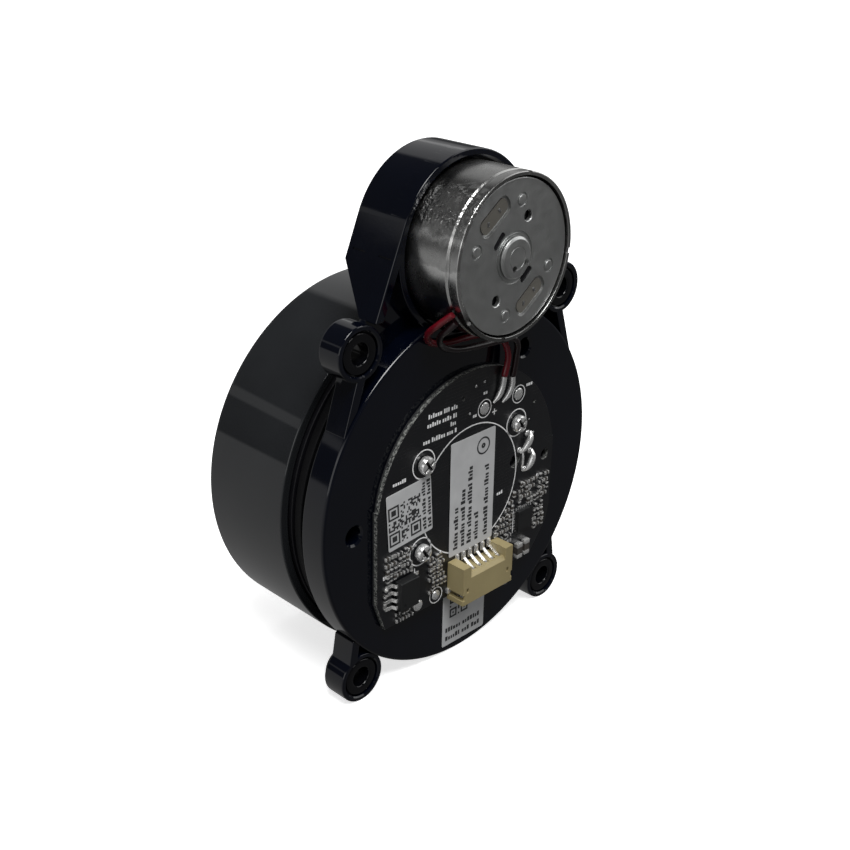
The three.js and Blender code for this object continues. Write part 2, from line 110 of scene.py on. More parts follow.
# ---- Camera ----
def make_camera():
    data = bpy.data.cameras.new("camera")
    data.sensor_width = 36
    data.lens = 52.87
    data.clip_start, data.clip_end = 0.01, 20
    camera = bpy.data.objects.new("camera", data)
    right = Vector((0.7020, -0.7119, 0.0180))
    up = Vector((0.2842, 0.3032, 0.9096))
    stand = Vector((-130.02, -116.96, 90.18))
    turn = Matrix((right, up, right.cross(up))).transposed().to_4x4()
    camera.matrix_world = Matrix.Translation((stand + origin) * MM) @ turn
    bpy.context.scene.collection.objects.link(camera)
    bpy.context.scene.camera = camera


# ---- Outlines ----
def polar(radius, degrees):
    angle = math.radians(degrees)
    return radius * math.cos(angle), radius * math.sin(angle)


def arc(centre, radius, start, end, steps):
    """Points on an arc, in degrees, both ends included."""
    points = []
    for i in range(steps + 1):
        x, z = polar(radius, start + (end - start) * i / steps)
        points.append((centre[0] + x, centre[1] + z))
    return points


def rounded(points, radii, steps=4):
    """A closed outline with its corners rounded. radii is one radius, or one for each corner."""
    if not isinstance(radii, (list, tuple)):
        radii = [radii] * len(points)
    result = []
    for i, corner in enumerate(points):
        here = Vector(corner)
        before = Vector(points[i - 1]) - here
        after = Vector(points[(i + 1) % len(points)]) - here
        if radii[i] <= 0 or before.length < 1e-6 or after.length < 1e-6:
            result.append(tuple(here))
            continue
        angle = before.angle(after)
        reach = radii[i] / max(math.tan(angle / 2), 1e-6)
        reach = min(reach, before.length * 0.49, after.length * 0.49)
        start = here + before.normalized() * reach
        end = here + after.normalized() * reach
        for k in range(steps + 1):
            t = k / steps
            result.append(tuple((1 - t) ** 2 * start + 2 * t * (1 - t) * here + t * t * end))
    return result


def block_outline(x0, x1, z0, z1, radius=0.0, steps=4):
    """A rectangle with rounded corners."""
    return rounded([(x0, z0), (x1, z0), (x1, z1), (x0, z1)], radius, steps)


def bar_outline(half_x, half_z, radius, steps=4):
    """A rectangle about the origin."""
    return block_outline(-half_x, half_x, -half_z, half_z, radius, steps)


def turned_outline(points, centre, degrees):
    """An outline that was drawn about the origin, turned and moved to a centre."""
    c, s = polar(1, degrees)
    return [(centre[0] + x * c - z * s, centre[1] + x * s + z * c) for x, z in points]


# ---- Solids in millimetres ----
def new_object(name, mesh_maker):
    made = bmesh.new()
    mesh_maker(made)
    bmesh.ops.remove_doubles(made, verts=made.verts, dist=1e-5)
    bmesh.ops.recalc_face_normals(made, faces=made.faces)
    data = bpy.data.meshes.new(name)
    made.to_mesh(data)
    made.free()
    piece = bpy.data.objects.new(name, data)
    bpy.context.scene.collection.objects.link(piece)
    return piece


def weave(made, rows, columns):
    """Faces between each row of vertices and the next, over that many columns."""
    for a, b in zip(rows, rows[1:]):
        for j in range(columns):
            k = (j + 1) % len(a)
            made.faces.new((a[j], a[k], b[k], b[j]))


def lathe(name, profile, steps=96, centre=(0, 0)):
    """A turned solid about Y. profile is (radius, y) pairs, from the axis back to it or round a ring."""

    def make(made):
        rings = []
        for i in range(steps):
            c, s = polar(1, 360 * i / steps)
            rings.append([made.verts.new((centre[0] + r * c, y, centre[1] + r * s)) for r, y in profile])
        weave(made, [*rings, rings[0]], len(profile) if profile[0][0] > 0 else len(profile) - 1)

    return new_object(name, make)


def disc(name, radius, near, far, centre, steps, edge=0.0):
    profile = [(0, near), (radius, near), (radius, far), (0, far)]
    if edge:
        profile = rounded(profile, [0, edge, edge, 0])
    return lathe(name, profile, steps, centre)


def bores(spots, near, far, steps, radius=1):
    """A cutter for a screw's hole at each spot."""
    return [disc("hole", radius, near, far, spot, steps) for spot in spots]


def washer(name, outer, inner, near, far, centre, steps=96):
    return lathe(name, [(inner, near), (outer, near), (outer, far), (inner, far)], steps, centre)


def prism(name, outline, near, far, edge=0.0, steps=3):
    """A flat solid: an outline in X and Z, from near to far along Y, with its edges rounded."""

    def make(made):
        front = [made.verts.new((x, near, z)) for x, z in outline]
        back = [made.verts.new((x, far, z)) for x, z in outline]
        made.faces.new(front)
        made.faces.new(back[::-1])
        weave(made, [front, back], len(outline))

    piece = new_object(name, make)
    if edge:
        soften(piece, edge, steps)
    return piece


def block(name, x0, x1, near, far, z0, z1, edge=0.0, steps=3):
    return prism(name, block_outline(x0, x1, z0, z1), near, far, edge, steps)


def block_between(name, low, high, edge=0.0, steps=3):
    """A block from its lowest corner to its highest."""
    return block(name, low.x, high.x, low.y, high.y, low.z, high.z, edge, steps)


def apply(piece):
    """Puts what the modifiers make into the mesh."""
    graph = bpy.context.evaluated_depsgraph_get()
    data = bpy.data.meshes.new_from_object(piece.evaluated_get(graph))
    piece.modifiers.clear()
    piece.data = data
    return piece


def soften(piece, width, steps, limit=35):
    bevel = piece.modifiers.new("edges", "BEVEL")
    bevel.width = width
    bevel.segments = steps
    bevel.limit_method = "ANGLE"
    bevel.angle_limit = math.radians(limit)
    return apply(piece)


def combine(piece, others, operation):
    for other in others:
        step = piece.modifiers.new("step", "BOOLEAN")
        step.operation = operation
        step.solver = "MANIFOLD"
        step.object = other
    apply(piece)
    for other in others:
        bpy.data.objects.remove(other)
    return piece


def union(piece, *others):
    return combine(piece, others, "UNION")


def cut(piece, *others):
    return combine(piece, others, "DIFFERENCE")


def join(name, parts):
    """Several solids as one mesh, each still closed."""
    made = bmesh.new()
    for part in parts:
        made.from_mesh(part.data)
        bpy.data.objects.remove(part)
    data = bpy.data.meshes.new(name)
    made.to_mesh(data)
    made.free()
    piece = bpy.data.objects.new(name, data)
    bpy.context.scene.collection.objects.link(piece)
    return piece


def move(piece, matrix):
    piece.data.transform(matrix)
    return piece


AXES = {"X": (1, 0, 0), "Y": (0, 1, 0), "Z": (0, 0, 1), "-Y": (0, -1, 0)}


def lay(piece, axes, to=(0, 0, 0)):
    """Turns a solid so that its own X, Y and Z point along the named axes, and moves it to a point."""
    columns = [AXES[name] for name in axes]
    return move(piece, Matrix.Translation(to) @ Matrix(columns).transposed().to_4x4())


def dress(piece, *looks):
    """Gives a piece the named looks as its materials."""
    piece.data.materials.clear()
    for look in looks:
        piece.data.materials.append(LOOKS[look])


def place(piece, look, body, slot, *nodes, crease=32):
    """Finishes a solid: metres, smooth faces, sharp creases, look, body and CAD nodes. The slot argument is
    not used.
    """
    piece.data.transform(DESIGN)
    for face in piece.data.polygons:
        face.use_smooth = True
    piece.data.set_sharp_from_angle(angle=math.radians(crease))
    normals = piece.modifiers.new("normals", "WEIGHTED_NORMAL")
    normals.keep_sharp = True
    dress(piece, look)
    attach(piece, body)
    if nodes:
        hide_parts(*nodes)


# ---- Materials ----
class Graph:
    """Nodes under construction."""

    def __init__(self, owner):
        owner.use_nodes = True
        self.nodes = owner.node_tree.nodes
        self.links = owner.node_tree.links
        self.place = self.nodes.new("ShaderNodeTexCoord")

    def fill(self, node, inputs):
        """Sets a node's inputs: each to a value, or to what comes out of another node."""
        for key, value in inputs.items():
            if isinstance(value, bpy.types.NodeSocket):
                self.links.new(value, node.inputs[key])
            else:
                node.inputs[key].default_value = value

    def add(self, kind, inputs, output, **settings):
        """Makes a node and gives one of its outputs."""
        node = self.nodes.new("ShaderNode" + kind)
        for name, value in settings.items():
            setattr(node, name, value)
        self.fill(node, inputs)
        return node.outputs[output]

    def maths(self, operation, *values):
        return self.add("Math", dict(enumerate(values)), "Value", operation=operation)

    def ramp(self, value, low, high, from_min=0.3, from_max=0.7, smooth=False):
        """A value mapped from one range to another."""
        inputs = {"Value": value, "From Min": from_min, "From Max": from_max, "To Min": low, "To Max": high}
        steps = "SMOOTHSTEP" if smooth else "LINEAR"
        return self.add("MapRange", inputs, "Result", interpolation_type=steps)

    def towards(self, vector, direction):
        """How much a vector points in a direction."""
        return self.add("VectorMath", {0: vector, 1: direction}, "Value", operation="DOT_PRODUCT")


class Look(Graph):
    """A node material under construction: lengths of its textures are in millimetres."""

    def __init__(self, name):
        self.material = bpy.data.materials.new(name)
        super().__init__(self.material)
        self.shader = self.nodes["Principled BSDF"]

    def set(self, **values):
        """Sets the shader's inputs."""
        self.fill(self.shader, {key.replace("_", " "): value for key, value in values.items()})
        return self

    def stretch(self, scale):
        """Object coordinates in millimetres, stretched by a scale for each axis."""
        inputs = {"Vector": self.place.outputs["Object"], "Scale": [s / MM for s in scale]}
        return self.add("Mapping", inputs, "Vector")

    def noise(self, size, detail, roughness=0.55, along=(1, 1, 1)):
        vector = self.stretch([a / size for a in along])
        inputs = {"Vector": vector, "Scale": 1, "Detail": detail, "Roughness": roughness}
        return self.add("TexNoise", inputs, "Fac")

    def cells(self, size):
        return self.add("TexVoronoi", {"Vector": self.stretch([1 / size] * 3), "Scale": 1}, "Distance")

    def blend(self, value, first, second):
        """A colour between two."""
        inputs = {"Factor": value, "A": (*first, 1), "B": (*second, 1)}
        return self.add("Mix", inputs, "Result", data_type="RGBA")

    def bump(self, height, depth, strength=1.0):
        """Adds a relief of that depth in millimetres on top of any that is there."""
        inputs = {"Height": height, "Distance": depth * MM, "Strength": strength}
        below = self.shader.inputs["Normal"].links
        if below:
            inputs["Normal"] = below[0].from_socket
        self.set(Normal=self.add("Bump", inputs, "Normal"))


def moulded(name, colour, rough, grain=0.25, depth=0.004, tint=1.3, spread=0.08, ior=1.5):
    """Injection-moulded plastic: fine grain, slow changes of gloss, faint flow marks."""
    look = Look(name).set(IOR=ior)
    lighter = [min(c * tint + 0.0004, 1) for c in colour]
    look.set(Base_Color=look.blend(look.ramp(look.noise(9, 4), 0, 1), colour, lighter))
    look.set(Roughness=look.ramp(look.noise(2.2, 5, 0.65), rough - spread / 2, rough + spread))
    look.bump(look.noise(grain, 3), depth)
    look.bump(look.noise(6, 2), depth * 4, 0.5)
    return look.material


def metal(name, colour, dark, rough, size, along=(1, 1, 1), depth=0.003):
    """Metal in two tones, with patches of gloss and a fine grain. size is that of the patches."""
    look = Look(name).set(Metallic=1.0)
    look.set(Base_Color=look.blend(look.ramp(look.noise(size, 6, 0.65, along), 0, 1), dark, colour))
    look.set(Roughness=look.ramp(look.noise(size * 0.7, 5, 0.7, along), rough - 0.07, rough + 0.14))
    look.bump(look.noise(size * 0.25, 4, 0.6, along), depth)
    return look.material


def tinned(name, colour, dark, rough, size=0.6, depth=0.003):
    """Bright tin or zinc with a frosted surface, which also scatters some light."""
    material = metal(name, colour, dark, rough, size, depth=depth)
    material.node_tree.nodes["Principled BSDF"].inputs["Metallic"].default_value = 0.75
    return material


# Angles about the motor's axis, and the brightness of the painted reflection at each: bands of reflected
# studio light painted into the can's colour.
CAN_REFLECTION_BANDS = (
    (-180, 0.62), (-155, 0.55), (-146, 0.16), (-60, 0.3), (40, 0.5), (95, 0.34), (122, 0.26), (130, 0.5),
    (152, 0.42), (157, 0.5), (160, 0.92), (164, 0.45), (178, 0.4), (180, 0.62),
)


def paint_reflection_bands(stops):
    stops[0].position, stops[1].position = 0, 1
    for degrees, level in CAN_REFLECTION_BANDS[1:-1]:
        stops.new((degrees + 180) / 360)
    for stop, (degrees, level) in zip(stops, CAN_REFLECTION_BANDS):
        stop.color = (level, level, level * 0.985, 1)


def make_can_steel():
    """Zinc-plated steel with painted reflection bands along the can, set by the angle about its axis, and a
    dented patch at the upper left.
    """
    look = Look("can_steel").set(Metallic=1.0)
    motor_axis = (Vector((0, 0, MOTOR)) + origin) * MM
    position = {0: look.place.outputs["Object"], 1: motor_axis}
    from_axis = look.add("VectorMath", position, "Vector", operation="SUBTRACT")
    across = look.towards(from_axis, (1, 0, 0))
    up = look.towards(from_axis, (0, 0, 1))
    # The angle about the motor's axis in degrees, counted from the right, with edges that waver.
    wobble = look.ramp(look.noise(2.5, 3, 0.5), -3, 3)
    degrees = look.maths("MULTIPLY", look.maths("ARCTAN2", up, across), 180 / math.pi)
    angle = look.maths("ADD", degrees, wobble)
    # Painted reflection: the can's colour is lighter and darker in bands by the angle about its axis.
    reflection_bands = look.add("ValToRGB", {"Fac": look.ramp(angle, 0, 1, -180, 180)}, "Color")
    paint_reflection_bands(reflection_bands.node.color_ramp.elements)
    spangle = look.ramp(look.cells(0.7), 0.9, 1.0, 0, 0.8)
    look.set(Base_Color=look.add("VectorMath", {0: reflection_bands, "Scale": spangle}, "Vector", operation="SCALE"))
    look.set(Roughness=look.ramp(look.noise(3, 3, 0.5), 0.22, 0.3))
    dent_start = look.ramp(angle, 0, 1, 118, 128, True)
    dent_end = look.ramp(angle, 1, 0, 148, 156, True)
    dented = look.maths("MULTIPLY", dent_start, dent_end)
    look.bump(look.maths("MULTIPLY", look.noise(0.75, 2, 0.5), dented), 0.3)
    look.bump(look.noise(0.12, 3, 0.6, (3, 0.3, 3)), 0.003)
    return look.material


def make_plate_steel():
    """Satin nickel-plated steel with a fine grain and a few small marks."""
    look = Look("plate_steel").set(Metallic=1.0)
    tone = look.ramp(look.noise(7, 4, 0.6), 0, 1)
    look.set(Base_Color=look.blend(tone, (0.46, 0.47, 0.465), (0.54, 0.545, 0.54)))
    look.set(Roughness=look.ramp(look.noise(1.4, 5, 0.7), 0.34, 0.48))
    look.bump(look.noise(0.16, 4, 0.7), 0.003)
    return look.material


def make_board_mask():
    """Black solder mask: glossy, with the faint relief of the copper tracks below it."""
    look = Look("solder_mask").set(IOR=1.5, Coat_Weight=0.25, Coat_Roughness=0.2)
    # The tracks lie in the board's plane, which is X and Z.
    x = look.add("SeparateXYZ", {"Vector": look.stretch((1, 1, 1))}, "X")
    flat = look.add("CombineXYZ", {"X": x, "Y": x.node.outputs["Z"]}, "Vector")
    sizes = {"Vector": flat, "Scale": 1, "Mortar Size": 0.03, "Brick Width": 1.7, "Row Height": 0.55}
    tracks = look.add("TexBrick", sizes, "Fac")
    patch = look.ramp(look.noise(4, 3), 0, 1, 0.45, 0.55)
    relief = look.maths("MULTIPLY", tracks, patch)
    look.set(Base_Color=look.blend(relief, (0.0028, 0.0032, 0.0048), (0.0085, 0.010, 0.0115)))
    look.set(Roughness=look.ramp(look.noise(1.8, 4), 0.3, 0.42))
    look.bump(relief, 0.02, 0.6)
    look.bump(look.noise(0.3, 3), 0.004)
    return look.material


def make_board_edge():
    """Sawn glass-fibre board: pale, rough and speckled at the front, with painted shade that darkens it
    towards the back.
    """
    look = Look("board_edge").set(IOR=1.5)
    speck = look.noise(0.42, 5, 0.85)
    depth = look.towards(look.place.outputs["Object"], (0, 1, 0))
    back = origin.y + BOARD_FAR
    # Painted shade: the edge is darkened towards its back, next to the base.
    unshaded = look.ramp(depth, 1, 0, (back - 0.42) * MM, (back - 0.24) * MM)
    pale = look.maths("MULTIPLY", look.ramp(speck, 0, 1, 0.46, 0.6), unshaded)
    look.set(Base_Color=look.blend(pale, (0.010, 0.011, 0.012), (0.31, 0.32, 0.30)))
    look.set(Roughness=look.ramp(speck, 0.9, 0.6))
    look.bump(look.noise(0.28, 5, 0.8), 0.15)
    return look.material


def make_foil():
    """A satin grey film label with a slight print mottle."""
    look = Look("label_foil").set(IOR=1.5)
    tone = look.ramp(look.noise(3, 4), 0, 1)
    look.set(Base_Color=look.blend(tone, (0.50, 0.505, 0.51), (0.57, 0.575, 0.58)))
    look.set(Roughness=look.ramp(look.noise(0.9, 5), 0.32, 0.5))
    look.bump(look.noise(0.35, 3), 0.003)
    look.bump(look.noise(5, 2), 0.03, 0.6)
    return look.material


def make_glass(name, colour):
    """Polished glass with a coating. It is dark, as the space behind it is."""
    look = Look(name).set(IOR=1.52, Coat_Weight=1.0, Coat_Roughness=0.02)
    look.set(Base_Color=look.blend(look.ramp(look.noise(4, 2), 0, 1), colour, [c * 1.25 for c in colour]))
    look.set(Roughness=look.ramp(look.noise(1.5, 3), 0.02, 0.06))
    return look.material


LOOKS = {}


def make_materials():
    """Fills LOOKS, which the pieces name their looks from."""
    LOOKS.update(
        black=moulded("black_plastic", (0.0003, 0.0009, 0.0036), 0.07, 0.5, 0.0008, 1.4, 0.03),
        matt=moulded("matt_plastic", (0.0016, 0.0015, 0.0026), 0.45, ior=1.35),
        gloss=moulded("gloss_plastic", (0.0130, 0.0140, 0.0155), 0.035, 1.6, 0.0003, 1.2, 0.02),
        dull=moulded("dull_plastic", (0.012, 0.012, 0.013), 0.5),
        rubber=moulded("rubber", (0.0010, 0.0011, 0.0018), 0.14, 0.25, 0.002, ior=1.42),
        belt=moulded("belt_rubber", (0.0020, 0.0020, 0.0025), 0.5, 0.12, 0.008, ior=1.25),
        ivory=moulded("ivory_nylon", (0.285, 0.235, 0.118), 0.42, 0.3, 0.003, 1.2),
        brown=moulded("brush_board", (0.095, 0.090, 0.078), 0.45, 0.3, 0.01),
        chip=moulded("chip_epoxy", (0.0055, 0.0060, 0.0065), 0.45, 0.1, 0.006),
        red=moulded("red_sleeve", (0.11, 0.004, 0.009), 0.2, 0.6, 0.003),
        dark=moulded("black_sleeve", (0.010, 0.003, 0.004), 0.2, 0.6, 0.003),
        ink=moulded("label_ink", (0.018, 0.018, 0.019), 0.5, 0.2, 0.001),
        silk=moulded("silkscreen", (0.78, 0.79, 0.79), 0.55, 0.15, 0.003),
        ceramic=moulded("ceramic_part", (0.045, 0.040, 0.035), 0.4, 0.2, 0.004),
        resistor=moulded("resistor_body", (0.02, 0.02, 0.022), 0.4, 0.2, 0.004),
        pale=moulded("pale_part", (0.16, 0.16, 0.155), 0.45, 0.2, 0.004),
        can=make_can_steel(),
        plate=make_plate_steel(),
        mask=make_board_mask(),
        edge=make_board_edge(),
        foil=make_foil(),
        lens=make_glass("coated_lens", (0.012, 0.02, 0.045)),
        window=make_glass("diode_window", (0.05, 0.012, 0.012)),
        screw=tinned("screw_zinc", (0.93, 0.93, 0.92), (0.7, 0.7, 0.7), 0.16, 1.2, 0.0008),
        solder=tinned("solder", (0.97, 0.97, 0.96), (0.74, 0.74, 0.74), 0.2),
        tin=tinned("tinned_pin", (0.97, 0.965, 0.95), (0.74, 0.735, 0.72), 0.2, 0.5),
        dim_steel=metal("dim_steel", (0.32, 0.325, 0.33), (0.22, 0.22, 0.225), 0.4, 0.9),
        brass=metal("brass", (0.62, 0.45, 0.20), (0.45, 0.31, 0.13), 0.3, 1.0),
        copper=metal("copper", (0.55, 0.26, 0.14), (0.38, 0.15, 0.07), 0.35, 0.5, (6, 1, 1)),
        ferrite=moulded("ferrite", (0.03, 0.03, 0.032), 0.6, 0.15, 0.01),
    )


# ---- Base ----
def flank_touch(radius):
    """Where a straight flank meets the arc of the cup, on the right."""
    return radius * math.cos(FLANK_TILT), MOTOR + radius * math.sin(FLANK_TILT)


def arm_outline(radius, foot):
    """The arc of the cup and the two straight flanks that touch it."""
    touch_x, touch_z = flank_touch(radius)
    foot_x = touch_x + (touch_z - foot) * math.tan(FLANK_TILT)
    tilt = math.degrees(FLANK_TILT)
    return [(foot_x, foot), *arc((0, MOTOR), radius, tilt, 180 - tilt, 56), (-foot_x, foot)]


def make_plate():
    """The round plate with its rim, and the post that carries the bearing."""
    floor = 2.0
    wall = BASE_R - 1.6
    post, bore, top = 9.85, 8.3, 10.2
    collar = post + 1.1
    neck = post - 0.5
    low, high = (corner.y for corner in span("bearing_inner_ring"))
    points = [
        (2, 0), (BASE_R, 0), (BASE_R, RIM), (wall, RIM), (wall, floor), (collar, floor),
        (collar, low - 0.1), (post, low - 0.1), (post, high + 0.1), (neck, high + 0.1), (neck, high + 0.7),
        (post, high + 0.7), (post, top), (bore, top), (bore, floor), (2, floor),
    ]
    radii = [0.2, 0.55, 0.3, 0.2, 0.4, 0.3, 0.1, 0.05, 0.05, 0.05, 0.05, 0.05, 0.15, 0.15, 0.2, 0.2]
    return lathe("base_body", rounded(points, radii), 240)


def make_arm():
    wall = prism("arm", arm_outline(CUP_R, FLANK_FOOT), CUP_NEAR, CUP_FAR, 0.22)
    inner = arm_outline(CUP_R - CUP_WALL, BASE_R - 9)
    hollow = prism("hollow", inner, CUP_NEAR - 1, CUP_FAR + 1)
    # The far side's lower edge slopes. The wedge's outline has its X along the spin axis.
    rise, drop = CUP_FAR - RIM, FLANK_STEP - FLANK_FOOT
    slope = [(0, 0), (rise + 3, drop * (rise + 3) / rise), (rise + 3, -3), (0, -3)]
    wedge = lay(prism("wedge", slope, -30, 30), "YXZ", (0, RIM, FLANK_FOOT))
    wedge.data.flip_normals()
    return cut(wall, hollow, wedge)


def make_arm_floor():
    x, z = EARS["upper_left"]
    x = abs(x)
    outline = arm_outline(CUP_R - 0.02, FLANK_FOOT)
    outline += [(-x, z), (-x - 1.7, 18.3), (x + 1.7, 18.3), (x, z)]
    return prism("floor", outline, CAN_FAR + 0.15, RIM, 0.15, 2)


def make_ear(spot):
    side, up = (math.copysign(1, value) for value in spot)
    boss = [(0, EAR_NEAR), (EAR_R, EAR_NEAR), (EAR_R, RIM), (0, RIM)]
    body = lathe("ear", rounded(boss, [0, 0.3, 0.25, 0]), 72, spot)
    if up > 0:
        head, foot = (side * 21.7, 24), (side * 24.35, 16)
    else:
        head, foot = (side * 23.6, -22.6), (side * 22.9, -18.4)
    half = 0.75
    line = [(x - half, z) for x, z in (head, foot)] + [(x + half, z) for x, z in (foot, head)]
    rib = prism("rib", line, EAR_NEAR, RIM, 0.18)
    web = prism("web", [spot, foot, (side * 18, up * 22.5)], RIM - 1.2, RIM, 0.1, 2)
    return union(body, rib, web)


def ear_holes(spot):
    hole = lathe("hole", rounded([(0, -2), (2.6, -2), (2.6, 8), (0, 8)], 0), 64, spot)
    sunk = EAR_NEAR + 1
    sink = [(0, -1), (3.5, -1), (3.5, EAR_NEAR), (3.3, EAR_NEAR + 0.2), (3.3, sunk), (0, sunk)]
    return [hole, lathe("sink", sink, 64, spot)]


def flank_nicks():
    """Short shallow grooves across both flanks, where the mould's slides met."""
    touch_x, touch_z = flank_touch(CUP_R)
    height = 39.5
    x = touch_x + (touch_z - height) * math.tan(FLANK_TILT)
    nicks = []
    for side in (-1, 1):
        turn = Matrix.Rotation(-side * FLANK_TILT, 4, "Y")
        for y0, y1 in ((1.9, 4.5), (7.2, 9.8)):
            nick = prism("nick", bar_outline(0.3, 0.11, 0.08), y0, y1, 0.05, 2)
            nicks.append(move(nick, Matrix.Translation((side * x, 0, height)) @ turn))
    return nicks


def make_base():
    body = make_plate()
    cup = disc("cup", CUP_R, CUP_NEAR, RIM, (0, MOTOR), 112, 0.22)
    arm = make_arm()
    parts = [make_arm_floor(), cup, arm, *[make_ear(spot) for spot in EARS.values()]]
    parts += [disc("post", 2, RIM - 0.1, 9.5, spot, 32, 0.15) for spot in PULLEY_COVER_SCREWS]
    parts += [disc("boss", 2, 1.9, RIM, spot, 32, 0.15) for spot in BOARD_SCREWS]
    union(body, *parts)
    bore, step = CUP_R - CUP_WALL, CAN_FAR + 0.15
    mouth = bore + 0.4
    seat = [(0, -2), (mouth, -2), (mouth, CUP_NEAR), (bore, CUP_NEAR + 0.35), (bore, step), (0, step)]
    cutters = [lathe("seat", seat, 112, (0, MOTOR)), disc("shaft_hole", 3, 0, RIM + 1, (0, MOTOR), 32)]
    keyhole = [(0, -1), (1.75, -1), (1.75, 0), (1.45, 0.3), (1.45, 4), (0, 4)]
    cutters += [lathe("hole", keyhole, 40, polar(23.7, degrees)) for degrees in (57.5, 179.5, 298)]
    for spot in EARS.values():
        cutters += ear_holes(spot)
    cutters += bores(BOARD_SCREWS, -1, 6, 24)
    cutters += flank_nicks()
    cut(body, *cutters)
    place(body, "black", "base", "black_plastic", "base_frame")


def make_grommets():
    bore, neck, near_lip, far_lip = 1.6, 2.4, 3.1, 3.3
    radii = [0.35, 0.45, 0.15, 0.1, 0.1, 0.15, 0.35, 0.35]
    for name, spot in EARS.items():
        near, far = (corner.y for corner in span("grommet_" + name))
        points = [
            (bore, near), (near_lip, near), (near_lip, near + 0.7), (neck, near + 0.7),
            (neck, far - 0.75), (far_lip, far - 0.75), (far_lip, far), (bore, far),
        ]
        bush = lathe("bush_" + name, rounded(points, radii, 6), 72, spot)
        place(bush, "rubber", "base", "rubber", "grommet_" + name)


# ---- Screws ----
HEAD_HEIGHTS = {"board": 1.1, "pulley": 1.0, "turret": 0.8}


def make_screw(name, body="base"):
    """A pan-head cross-recess screw in the place of a CAD screw."""
    low, high = span(name)
    centre = ((low.x + high.x) / 2, (low.z + high.z) / 2)
    radius = (high.x - low.x) / 2
    kind = name.split("_")[0]
    height = HEAD_HEIGHTS[kind]
    # The board's screws have their heads at the near end, the others at the far end.
    if kind == "board":
        radius -= 0.45
        sign, top, end = 1, low.y, high.y
    else:
        sign, top, end = -1, high.y, low.y
    shank, tip = 0.8, 0.5
    profile = [
        (0, top), (radius * 0.72, top), (radius * 0.88, top + sign * height * 0.1),
        (radius * 0.97, top + sign * height * 0.3), (radius, top + sign * height * 0.6),
        (radius * 0.98, top + sign * height), (shank, top + sign * height),
        (shank, end - sign * 0.4), (tip, end), (0, end),
    ]
    screw = lathe(name + "_head", profile, 56, centre)
    cutters, shade_fills = [], []
    cross_depths = sorted((top - sign, top + sign * height * 0.62))
    shade_depths = sorted((top + sign * height * 0.22, top + sign * height * 0.6))
    for turn in (35, 125):
        arm = bar_outline(radius * 0.78, 0.27, 0.12)
        cutters.append(prism("blade", turned_outline(arm, centre, turn), *cross_depths))
        arm = bar_outline(radius * 0.73, 0.22, 0.12)
        shade_fills.append(prism("fill", turned_outline(arm, centre, turn), *shade_depths))
    pit = [
        (0, top - sign), (radius * 0.34, top - sign), (radius * 0.30, top + sign * 0.2),
        (0, top + sign * height * 0.85),
    ]
    cutters.append(lathe("pit", pit, 20, centre))
    cut(screw, *cutters)
    soften(screw, 0.03, 2, 40)
    place(screw, "screw", body, "steel", name)
    # A dark piece at the bottom of the cross is painted shade in the recess.
    place(join(name + "_recess", shade_fills), "matt", body, "steel")


# ---- Sweeps ----
def smooth_path(points, steps):
    """A Catmull-Rom curve through the points, with that many steps for each stretch."""
    points = [Vector(point) for point in points]
    ends = [2 * points[0] - points[1], *points, 2 * points[-1] - points[-2]]
    path = []
    for i in range(1, len(ends) - 2):
        a, b, c, d = ends[i - 1:i + 3]
        for k in range(steps):
            t = k / steps
            path.append(0.5 * (2 * b + (c - a) * t + (2 * a - 5 * b + 4 * c - d) * t**2
                               + (3 * b - a - 3 * c + d) * t**3))
    path.append(points[-1])
    return path


def sweep(name, path, radii, sides=20):
    """A closed round tube along a path, with a radius for each point."""

    def make(made):
        side = Vector((0, 1, 0.3)).cross(path[1] - path[0]).normalized()
        rings = []
        for i, point in enumerate(path):
            along = (path[min(i + 1, len(path) - 1)] - path[max(i - 1, 0)]).normalized()
            side = (side - along * side.dot(along)).normalized()
            other = along.cross(side)
            rings.append([])
            for k in range(sides):
                c, s = polar(radii[i], 360 * k / sides)
                rings[-1].append(made.verts.new(point + side * c + other * s))
        weave(made, rings, sides)
        made.faces.new(rings[0][::-1])
        made.faces.new(rings[-1])

    return new_object(name, make)


def tube(name, points, radius, steps, sides):
    """A wire through the points, a little thinner at its two ends."""
    path = smooth_path(points, steps)
    radii = [radius] * len(path)
    radii[0] = radii[-1] = radius - 0.12 * radius
    return sweep(name, path, radii, sides)


# ---- Drive ----
def belt_loop(offset):
    """The belt's path round the turret and the pulley, that far outside its middle line."""
    lean = math.degrees(math.asin((BELT_R - PULLEY_R) / MOTOR))
    return (arc((0, 0), BELT_R + offset, 180 - lean, 360 + lean, 120)
            + arc((0, MOTOR), PULLEY_R + offset, lean, 180 - lean, 40))


def make_belt():
    half = 0.75
    section = rounded([(-half, -half), (half, -half), (half, half), (-half, half)], 0.28, 3)

    def make(made):
        loops = []
        for offset, along in section:
            loops.append([made.verts.new((x, BELT_Y + along, z)) for x, z in belt_loop(offset)])
        weave(made, [*loops, loops[0]], len(loops[0]))

    place(new_object("belt", make), "belt", "base", "rubber", "drive_belt")


def make_pulley_cover():
    far = CUP_FAR - 0.2
    cover = prism("pulley_cap", arm_outline(CUP_R - CUP_WALL - 0.15, FLANK_STEP - 0.4), far - 1, far)
    cut(cover, *bores(PULLEY_COVER_SCREWS, far - 2, far + 1, 24))
    soften(cover, 0.14, 2)
    place(cover, "black", "base", "black_plastic", "pulley_cover")


